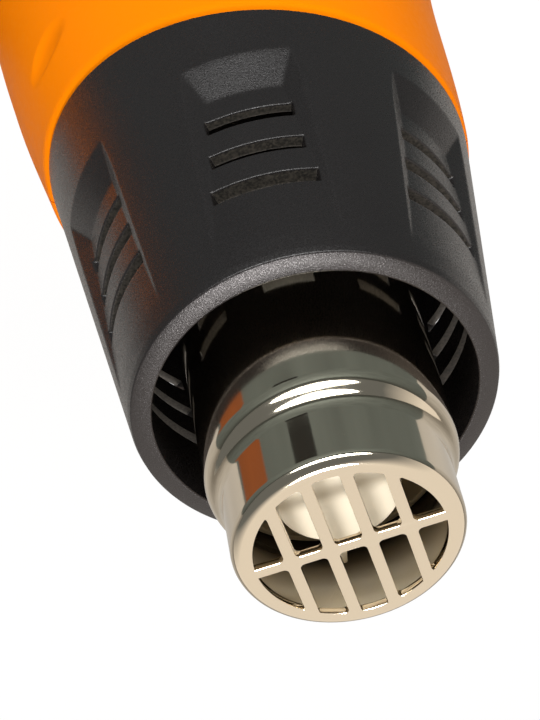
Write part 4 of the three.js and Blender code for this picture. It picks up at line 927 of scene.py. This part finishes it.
whole = copied(housing, "housing_whole")
heights = [BELOW, *between(JOINT_Z, PART_Z - LIP, 3), ABOVE]
section = [(0, BELOW), *((bore_radius(z), z) for z in heights), (0, ABOVE)]
combine(housing, spun("barrel_inside", section, 120), "DIFFERENCE")
handle_inside = handle_core("handle_inside", HANDLE_WALL, 16, HANDLE_END + BUTT_ROUND - HANDLE_WALL)
combine(housing, handle_inside, "DIFFERENCE")

# %% Screw posts and their holes
TO_SIDE = Matrix.Rotation(math.radians(-90), 4, "X")
SCREWS = [f"housing_screw_{i}" for i in range(1, 7)]
POST, HEAD_HOLE, SHANK_HOLE = 4.9, 3.5, 1.8


def screw_place(name):
    low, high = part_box(name)
    return Matrix.Translation(((low.x + high.x) / 2, 0, (low.z + high.z) / 2)) @ TO_SIDE


def cross_rods(name, radius, y0, y1):
    rods = []
    for screw in SCREWS:
        made = rod(name, radius, y0, y1, sides=48)
        made.data.transform(screw_place(screw))
        rods.append(made)
    return joined(rods)


posts = cross_rods("screw_posts", POST, -12, 60)
combine(posts, whole, "INTERSECT")
combine(housing, posts, "UNION")
combine(housing, cross_rods("head_holes", HEAD_HOLE, 7, 70), "DIFFERENCE")
combine(housing, cross_rods("shank_holes", SHANK_HOLE, -10, 8), "DIFFERENCE")

# %% [markdown]
# The front of the handle has a shallow bay for the slide switch, with a slot for the switch's stem. The
# bay is a block with rounded corners, tilted with the handle. The back of the handle has a bed for the
# soft grip, which is the region behind the handle's middle line, cut down to the depth of the pad.

# %% Switch bay
SWITCH_PLACE = Vector((73, 0, 80.245))
ON_HANDLE = Matrix.Translation(SWITCH_PLACE * MM) @ Matrix.Rotation(HANDLE_RAKE, 4, "Y")
BAY_CORNER, STEM_CORNER = 2.0, 1.5
shelf = block("switch_shelf", (-18.4, -9.7, -5.6), (18.4, 9.7, 0))
shelf.data.transform(ON_HANDLE)
combine(shelf, handle_core("handle_inner_core", 1.0, 40, 120), "INTERSECT")
combine(housing, shelf, "UNION")
bay = block("switch_bay", (-15.4, -6.7, -3), (15.4, 6.7, 20))
bevelled(bay, upright_corner, BAY_CORNER, 6)
stem_slot = block("stem_slot", (-9.4, -2.9, -12), (9.4, 2.9, 1))
bevelled(stem_slot, upright_corner, STEM_CORNER, 4)
for tool in (bay, stem_slot):
    tool.data.transform(ON_HANDLE)
    combine(housing, tool, "DIFFERENCE")

# %% Bed for the grip
GRIP_START, GRIP_END, GRIP_CORNER, GRIP_THICKNESS = 66.0, 150.0, 14.0, 1.6


def upper_end(edge):
    a, b = (vertex.co for vertex in edge.verts)
    return abs(a.y - b.y) > 0.1 and min(a.z, b.z) > 0


def grip_region(grow):
    piece = block("grip_region", (GRIP_START - grow, -60, -40), (GRIP_END + grow, 60, 0))
    for vertex in piece.data.vertices:
        if vertex.co.z > -MM:
            vertex.co.z = (handle_middle(vertex.co.x / MM) + grow) * MM
    bevelled(piece, upper_end, GRIP_CORNER, 8)
    return piece


bed = grip_region(SEAT_GAP)
combine(bed, handle_core("grip_bed_floor", GRIP_THICKNESS + SEAT_GAP, 58, 158), "DIFFERENCE")
combine(housing, bed, "DIFFERENCE")

# %% Hole for the lead
GLAND_HOLE, BUTT_X = 6.7, 166
TO_BUTT = Matrix.Translation((0, 0, handle_middle(BUTT_X) * MM)) @ Matrix.Rotation(math.radians(90), 4, "Y")
hole = rod("gland_hole", GLAND_HOLE, 150, 180)
hole.data.transform(TO_BUTT)
combine(housing, hole, "DIFFERENCE")

# %% [markdown]
# The housing is bright orange plastic with a satin skin. Its grain is finer and shallower than the
# guard's, so it mostly shows as a soft highlight. A slow noise shifts the orange very slightly, as thick
# and thin walls do when they cool.

# %% Orange satin plastic
orange_plastic = new_finish(
    "orange_satin_plastic", (1.0, 0.23, 0.0), 0.4, specular=0.06, specular_tint=(1.0, 0.5, 0.1)
)
cloudy(orange_plastic, 22, 2, (1.0, 0.218, 0.0), (1.0, 0.242, 0.001))
smudged(orange_plastic, 900, 2, 0.45, 0.58)
grained(orange_plastic, 1700, 2, 0.02, 0.6)

# %% [markdown]
# The finished shell is parted at the seam. The thin blade first cuts its shallow groove all round, which is
# the fine dark line that shows where two mouldings meet. Behind the groove the halves all but touch, so no
# light comes through, as with the lip and rebate of the real mouldings.

# %% Two halves
PARTING = 0.01
combine(housing, seam, "DIFFERENCE")
left = copied(housing, "housing_left_shell")
combine(left, block("right_side", (-100, -100, -10), (250, PARTING, 300)), "DIFFERENCE")
right = housing
right.name = "housing_right_shell"
combine(right, block("left_side", (-100, -PARTING, -10), (250, 100, 300)), "DIFFERENCE")
finished(right, "body", orange_plastic, "orange_plastic", "housing_right")
finished(left, "body", orange_plastic, "orange_plastic", "housing_left")

# %% [markdown]
# The grip is a soft pad in two halves, pressed into the bed. It is the skin of the handle inside the grip
# region, as thick as the bed is deep. Cutting it from the same rings as the handle makes it lie flush. The
# rubber is matt, so its gloss is low everywhere and its grain is deeper than the plastic's.

# %% Soft grip
soft_rubber = new_finish("soft_black_rubber", (0.016, 0.016, 0.017), 0.75)
cloudy(soft_rubber, 40, 3, (0.013, 0.013, 0.014), (0.021, 0.02, 0.021))
smudged(soft_rubber, 700, 2, 0.62, 0.85)
grained(soft_rubber, 1500, 3, 0.08, 0.9)

pad = handle_core("grip_pad", 0, 58, 158)
combine(pad, handle_core("grip_pad_floor", GRIP_THICKNESS, 56, 160), "DIFFERENCE")
combine(pad, grip_region(0), "INTERSECT")
other = copied(pad, "grip_left_pad")
pad.name = "grip_right_pad"
combine(pad, block("left_side", (0, -SEAM_HALF, -60), (250, 100, 300)), "DIFFERENCE")
combine(other, block("right_side", (0, -100, -60), (250, SEAM_HALF, 300)), "DIFFERENCE")
finished(pad, "body", soft_rubber, "soft_rubber", "grip_right")
finished(other, "body", soft_rubber, "soft_rubber", "grip_left")

# %% [markdown]
# The lead would enter through a rubber gland in the butt. It is turned, so its section is spun and then
# laid along the handle: an inner collar, a neck in the wall, and an outer collar with a soft edge.

# %% Cord gland
section = [(4.0, 159.1), (7.6, 159.1), (8.0, 159.5), (8.0, 162.1), (6.4, 162.1), (6.4, 166.3), (8.3, 166.3)]
section += [(8.6, 166.6), (8.6, 168.8)]
section += arc((7.1, 168.8), 1.5, 0, 90, 6)[1:]
section += arc((4.6, 169.7), 0.6, 90, 180, 4)
section.append(section[0])
gland = spun("cord_gland_ring", section, 64)
gland.data.transform(TO_BUTT)
finished(gland, "body", soft_rubber, "soft_rubber", "cord_gland")

# %% [markdown]
# The six housing screws are alike, so one is made and copied. A pan head is spun with its shank, and a
# cross is cut into the head for the driver. Zinc plating is a soft mirror, so the steel is a metal with a
# fairly rough gloss.

# %% Housing screws
CROSS_TURN = 20
steel = new_finish("zinc_plated_steel", (0.55, 0.55, 0.54), 0.32, metallic=1.0)
smudged(steel, 300, 3, 0.24, 0.42)
grained(steel, 900, 2, 0.02, 0.4)

section = [(0, -8.7), (0.6, -8.7), (1.5, -7.2), (1.5, 7.3), (3.0, 7.3), (3.2, 7.5), (3.2, 8.3)]
section += arc((2.2, 8.3), 1.0, 15, 70, 5)
section += [(1.3, 9.6), (0, 9.7)]
screw = spun("housing_screw", section, 48)
for turn in (0, 90):
    blade = block("driver_cross", (-1.9, -0.4, 8.5), (1.9, 0.4, 11))
    blade.data.transform(Matrix.Rotation(math.radians(turn + CROSS_TURN), 4, "Z"))
    combine(screw, blade, "DIFFERENCE")
for name in SCREWS:
    copy = copied(screw, name + "_turned")
    copy.data.transform(screw_place(name))
    finished(copy, "body", steel, "steel", name)
bpy.data.objects.remove(screw)

# %% [markdown]
# The tail is a cup with slots all round and in its floor, where the fan draws its air. The tool can stand on
# its flat foot. The cup is spun, one slot is shaped with rounded ends, and copies of it are taken out.

# %% Rear cover
FOOT_RADIUS, FOOT_ROUND = 34, 5
section = [(0, 0), (FOOT_RADIUS, 0)]
section += arc((FOOT_RADIUS, FOOT_ROUND), FOOT_ROUND, -90, 0, 10)[1:]
section += [(39.3, 12), (39.5, 20), (39.5, 23.2), (39.2, 23.7), (33.8, 23.7), (33.8, 26.9), (36.0, 26.9)]
section += [(36.0, 28.7), (31.4, 28.7), (31.4, 23.0), (36.8, 19.5), (36.6, 6.0), (34.2, 2.6), (0, 2.6)]
cover = spun("rear_cover_cup", section, 180)

# %% Air slots of the cover
def slots_round(name, low, high, along, corner, count):
    made = []
    for i in range(count):
        slot = block(name, low, high)
        bevelled(slot, along, corner, 5)
        slot.data.transform(Matrix.Rotation(2 * math.pi * (i + 0.5) / count, 4, "Z"))
        made.append(slot)
    return joined(made)


def outward_edge(edge):
    return runs_along(edge, "x")


combine(cover, slots_round("side_slot", (33, -1.6, 8), (45, 1.6, 19), outward_edge, 1.5, 18), "DIFFERENCE")
combine(cover, slots_round("tail_slot", (13, -1.4, -5), (25, 1.4, 8), upright_corner, 1.3, 12), "DIFFERENCE")
finished(cover, "body", black_plastic, "black_plastic", "rear_cover")

# %% [markdown]
# The switch cap is a small saddle with grooves for the thumb. Its side outline is lofted across the width
# with softened edges, the grooves are cut, and a stem reaches into the switch. A block with a bevel would be
# quicker, but the dished top is what makes it look like a slide switch.

# %% Outline of the switch cap
CAP_HALF, CAP_FLOOR, CAP_TOP, CAP_SHOULDER, CAP_DISH = 10.0, -2.6, 5.0, 4.0, 2.0


def curve(first, pull, last, count):
    points = []
    for i in range(1, count + 1):
        t = i / count
        weights = ((1 - t) ** 2, 2 * t * (1 - t), t * t)
        points.append(tuple(sum(w * p[k] for w, p in zip(weights, (first, pull, last))) for k in (0, 1)))
    return points


right_shoulder, left_shoulder = (CAP_HALF - CAP_SHOULDER, CAP_TOP), (CAP_SHOULDER - CAP_HALF, CAP_TOP)
outline = [(-CAP_HALF, CAP_FLOOR), (0, CAP_FLOOR), (CAP_HALF, CAP_FLOOR), (CAP_HALF, CAP_TOP - CAP_SHOULDER)]
outline += curve(outline[-1], (CAP_HALF - 1, CAP_TOP), right_shoulder, 8)
outline += curve(right_shoulder, (0, CAP_TOP - CAP_DISH), left_shoulder, 15)
outline += curve(left_shoulder, (1 - CAP_HALF, CAP_TOP), (-CAP_HALF, CAP_TOP - CAP_SHOULDER), 8)
print("points in the cap's outline:", len(outline))

# %% Switch slider
CAP_RINGS = [(-6.3, 0.7), (-6.1, 0.3), (-5.6, 0), (0, 0), (5.6, 0), (6.1, 0.3), (6.3, 0.7)]
GROOVE_PITCH, GROOVE_HALF, GROOVE_FLOOR, GROOVE_ROUND = 3.2, 0.65, 3.2, 0.4
SLIDER_REST = 5


def across(y, inset):
    share = 1 - inset / CAP_HALF
    return [(x * share, y, (z - 1) * share + 1) for x, z in outline]


def groove_bottom(edge):
    return min(vertex.co.z for vertex in edge.verts) < 4 * MM and runs_along(edge, "y")


slider = lofted("switch_slider_cap", [across(y, inset) for y, inset in CAP_RINGS])
for i in range(5):
    x = (i - 2) * GROOVE_PITCH
    groove = block("thumb_groove", (x - GROOVE_HALF, -12, GROOVE_FLOOR), (x + GROOVE_HALF, 12, 9))
    bevelled(groove, groove_bottom, GROOVE_ROUND, 3)
    combine(slider, groove, "DIFFERENCE")
combine(slider, block("switch_stem", (-4, -2.5, -8.9), (4, 2.5, -1.6)), "UNION")
slider.data.transform(ON_HANDLE @ Matrix.Translation((SLIDER_REST * MM, 0, 0)))
finished(slider, "slider", black_plastic, "black_plastic", "switch_slider")

# %% [markdown]
# Inside the outlet a sleeve of mica board keeps the heat off the tube. Its front edge can be seen through
# the grille beside the round plate, so it is spun finely enough to look round. The board is made of flakes,
# and a noise with much fine detail gives their cloudy look.

# %% Mica sleeve
SLEEVE_IN, SLEEVE_OUT = 16.9, 17.8
mica = new_finish("mica_board", (0.6, 0.5, 0.34), 0.5)
cloudy(mica, 260, 4, (0.46, 0.37, 0.23), (0.68, 0.59, 0.42), roughness=0.7)
smudged(mica, 900, 2, 0.35, 0.6)
grained(mica, 1200, 3, 0.04, 0.7)
section = [(SLEEVE_IN, 156.6), (SLEEVE_OUT, 156.6), (SLEEVE_OUT, 196), (SLEEVE_OUT, 236.4)]
section += [(17.6, 236.6), (17.1, 236.6), (SLEEVE_IN, 236.4), (SLEEVE_IN, 196)]
section.append(section[0])
sleeve = spun("mica_sleeve_tube", section, 120)
finished(sleeve, "body", mica, "mica", "mica_sleeve")

# %% [markdown]
# What is left of the measured model lies inside: the fan and its motor, the heating wire on its plates, the
# switch and the rectifier. These are glimpsed through slots only, so they keep their measured form and get
# a finish each, by the material that the record names for them.

# %% Finishes of the inner pieces
wire_metal = new_finish("heating_wire", (0.42, 0.37, 0.31), 0.42, metallic=1.0)
smudged(wire_metal, 1200, 3, 0.3, 0.55)
grained(wire_metal, 2600, 2, 0.08, 0.8)

inner_plastic = new_finish("grey_inner_plastic", (0.05, 0.05, 0.052), 0.5)
cloudy(inner_plastic, 60, 3, (0.04, 0.04, 0.042), (0.062, 0.062, 0.064))
grained(inner_plastic, 1500, 2, 0.03, 0.6)

fan_plastic = new_finish("pale_fan_plastic", (0.78, 0.76, 0.68), 0.4)
cloudy(fan_plastic, 50, 3, (0.74, 0.72, 0.64), (0.8, 0.78, 0.71))
grained(fan_plastic, 1200, 2, 0.02, 0.5)

motor_metal = new_finish("motor_shell_metal", (0.62, 0.63, 0.64), 0.35, metallic=1.0)
smudged(motor_metal, 200, 4, 0.27, 0.45)
grained(motor_metal, 900, 2, 0.02, 0.4)

bronze = new_finish("sintered_bronze", (0.43, 0.25, 0.07), 0.45, metallic=1.0)
smudged(bronze, 1800, 2, 0.35, 0.6)
grained(bronze, 2400, 2, 0.03, 0.6)

board = new_finish("green_board", (0.03, 0.15, 0.05), 0.4)
cloudy(board, 500, 3, (0.025, 0.12, 0.04), (0.035, 0.17, 0.06))
grained(board, 1500, 2, 0.02, 0.5)

# %% Give each remaining node its finish
INNER_NODES = [
    (mica, "mica_plate_a", "mica_plate_b"),
    (wire_metal, "heating_coil_rear", "heating_coil_front"),
    (steel, "thermal_cutout", "motor_shaft", "nozzle_screw_1", "nozzle_screw_2", "nozzle_screw_3"),
    (inner_plastic, "fan_duct", "motor_end_cap", "switch_body", "diode_1", "diode_2", "diode_3", "diode_4"),
    (fan_plastic, "fan_impeller"), (motor_metal, "motor_can"), (bronze, "motor_bush"), (board, "diode_board"),
]
for finish, *names in INNER_NODES:
    for name in names:
        nodes[name].data.materials.clear()
        nodes[name].data.materials.append(finish)
    print(finish.name, "on", ", ".join(names))

# %% [markdown]
# The stage is a plain pale floor. To the camera and in mirrors it is white, as a paper sweep is: most of
# what they see is an even glow, and the rest is real paper, which takes the tool's soft shadow. All other
# light meets a darker paper, so that the floor doesn't throw light back up on the black plastic. The Light
# Path node tells the two apart. More lamps could whiten the floor too, but they would wash out the tool.

# %% Floor
FLOOR_SIZE, FLOOR_Z = 12, -0.0005
PAPER_GLOW, PAPER_BOUNCE = 0.85, 0.16
floor = added("floor", bpy.ops.mesh.primitive_plane_add, size=FLOOR_SIZE)
for vertex in floor.data.vertices:
    vertex.co.z = FLOOR_Z
paper = new_finish("white_paper", (0.85, 0.85, 0.85), 0.9)
light_path = node(paper, "ShaderNodeLightPath")
seen = light_path.outputs["Is Camera Ray"]
for ray in ("Is Glossy Ray", "Is Transmission Ray"):
    either = node(paper, "ShaderNodeMath", operation="MAXIMUM")
    wire(paper, seen, either.inputs[0])
    wire(paper, light_path.outputs[ray], either.inputs[1])
    seen = either.outputs[0]
floor.data.materials.append(paper)
print("floor at", FLOOR_Z)

# %% White to the eye, darker to other light
glow = node(paper, "ShaderNodeEmission", Strength=1.0)
sweep = node(paper, "ShaderNodeMixShader")
sweep.inputs[0].default_value = PAPER_GLOW
wire(paper, principled(paper).outputs[0], sweep.inputs[1])
wire(paper, glow.outputs[0], sweep.inputs[2])
bounce = node(paper, "ShaderNodeBsdfDiffuse", Color=(PAPER_BOUNCE, PAPER_BOUNCE, PAPER_BOUNCE, 1))
chosen = node(paper, "ShaderNodeMixShader")
wire(paper, seen, chosen.inputs[0])
wire(paper, bounce.outputs[0], chosen.inputs[1])
wire(paper, sweep.outputs[0], chosen.inputs[2])
wire(paper, chosen.outputs[0], paper.node_tree.nodes["Material Output"].inputs["Surface"])
print("nodes of the paper:", len(paper.node_tree.nodes))

# %% [markdown]
# The room round the stage is dim and grey on the camera's side and pale and warm on the far side. That
# difference gives the bright tube its dark front and its light edges. It is made in the World with one soft
# step along a direction, and without a picture of a real room.

# %% World
PALE_SIDE, STEP_ENDS = (-0.4, 0.92, 0), (-0.2, 0.4)
DIM_SKY, PALE_SKY = (0.17, 0.18, 0.18), (1.0, 0.94, 0.86)
world = bpy.data.worlds.new("studio")
scene.world = world
world.use_nodes = True
background = world.node_tree.nodes["Background"]
background.inputs["Strength"].default_value = 1.0
direction = node(world, "ShaderNodeTexCoord")
facing = node(world, "ShaderNodeVectorMath", operation="DOT_PRODUCT")
facing.inputs[1].default_value = PALE_SIDE
wire(world, direction.outputs["Generated"], facing.inputs[0])
step = ramp(world, facing.outputs["Value"], 0, 1, at=STEP_ENDS)
wire(world, blended(world, step, DIM_SKY, PALE_SKY), background.inputs["Color"])
print("world:", world.name)

# %% [markdown]
# Two soft lamps are enough. A small one overhead grazes the guard's rim and throws the soft shadow. A wide,
# low one in front lights the grille and the pockets, and draws the long highlights on the shoulder, which is
# why it is an ellipse. Area lamps are used, because a point or a sun would give hard shadows.

# %% Lamps
AIM = Vector((0, 0, 0.2))


def lamp(name, place, size, tall, power, color):
    made = added(name, bpy.ops.object.light_add, type="AREA", location=place)
    made.data.shape = "ELLIPSE"
    made.data.size = size
    made.data.size_y = tall
    made.data.energy = power
    made.data.color = color
    made.rotation_euler = (AIM - Vector(place)).to_track_quat("-Z", "Y").to_euler()
    print(name, "watts:", power)


lamp("overhead_softbox", (0.06, 0.2, 1.4), 0.4, 0.4, 12, (1, 1, 1))
lamp("front_softbox", (0.0, -1.3, 0.5), 1.8, 0.45, 23, (0.95, 1.0, 1.0))

# %% [markdown]
# Bright metal shows little of itself and much of what lies round it, so a studio lays cards beside it. These
# lie just above the floor, and only mirrors see them: the camera, shadows and plain light pass through. Grey
# ones in front darken the tube, a pale one behind keeps its far side light, a warm one puts the orange patch
# on its left, and a dark one draws the narrow bar beside the patch. The warm card's orange-brown is painted
# light: it stands for orange light thrown from the handle onto shaded paper.

# %% Laying a card
def card(name, corners, z, finish):
    made = added(name, bpy.ops.mesh.primitive_plane_add, size=1)
    for vertex, corner in zip(made.data.vertices, corners):
        vertex.co = Vector((*corner, z))
    made.data.materials.append(finish)
    made.visible_camera = False
    made.visible_shadow = False
    made.visible_diffuse = False
    made.visible_transmission = False
    print("card:", name)


def sheet(x0, y0, x1, y1):
    return [(x0, y0), (x1, y0), (x0, y1), (x1, y1)]


def sector(near, far, first, last):
    turns = [math.radians(turn) for turn in (first, first, last, last)]
    return [(r * math.cos(t), r * math.sin(t)) for r, t in zip((near, far, near, far), turns)]


# %% Cards
CARD_Z, TOP_CARD_Z = 0.001, 0.002
EDGE, NEAR_EDGE, DIVIDE = 5.9, 0.5, 0.045
grey_paper = new_finish("grey_card_paper", (0.1, 0.12, 0.12), 0.9)
cloudy(grey_paper, 9, 3, (0.04, 0.05, 0.05), (0.12, 0.145, 0.145))
card("front_card", sheet(-EDGE, -NEAR_EDGE, EDGE, DIVIDE), CARD_Z, grey_paper)
card("far_card", sheet(-EDGE, -EDGE, EDGE, -NEAR_EDGE), CARD_Z, grey_paper)
# Painted light: this card's orange-brown stands for orange light bounced from the handle onto shaded paper.
handle_bounce_paper = new_finish("painted_bounce_card_paper", (0.35, 0.09, 0.012), 0.9)
cloudy(handle_bounce_paper, 12, 2, (0.14, 0.034, 0.003), (0.24, 0.06, 0.006))
card("painted_bounce_card", sector(0.215, 0.3, -25, 7), TOP_CARD_Z, handle_bounce_paper)
pale_paper = new_finish("pale_card_paper", (0.35, 0.34, 0.32), 0.9)
cloudy(pale_paper, 6, 2, (0.3, 0.29, 0.275), (0.56, 0.54, 0.52))
card("side_card", sheet(-EDGE, DIVIDE, EDGE, EDGE), CARD_Z, pale_paper)
dark_paper = new_finish("dark_card_paper", (0.01, 0.01, 0.01), 0.9, specular=0.1)
cloudy(dark_paper, 12, 2, (0.006, 0.006, 0.006), (0.014, 0.013, 0.012))
card("dark_card", sector(0.243, 0.3, -79, -57), TOP_CARD_Z, dark_paper)

# %% [markdown]
# The Standard view shows colours as they are written, without a film-like curve.

# %% Colour view
scene.view_settings.view_transform = "Standard"
print("view:", scene.view_settings.view_transform)
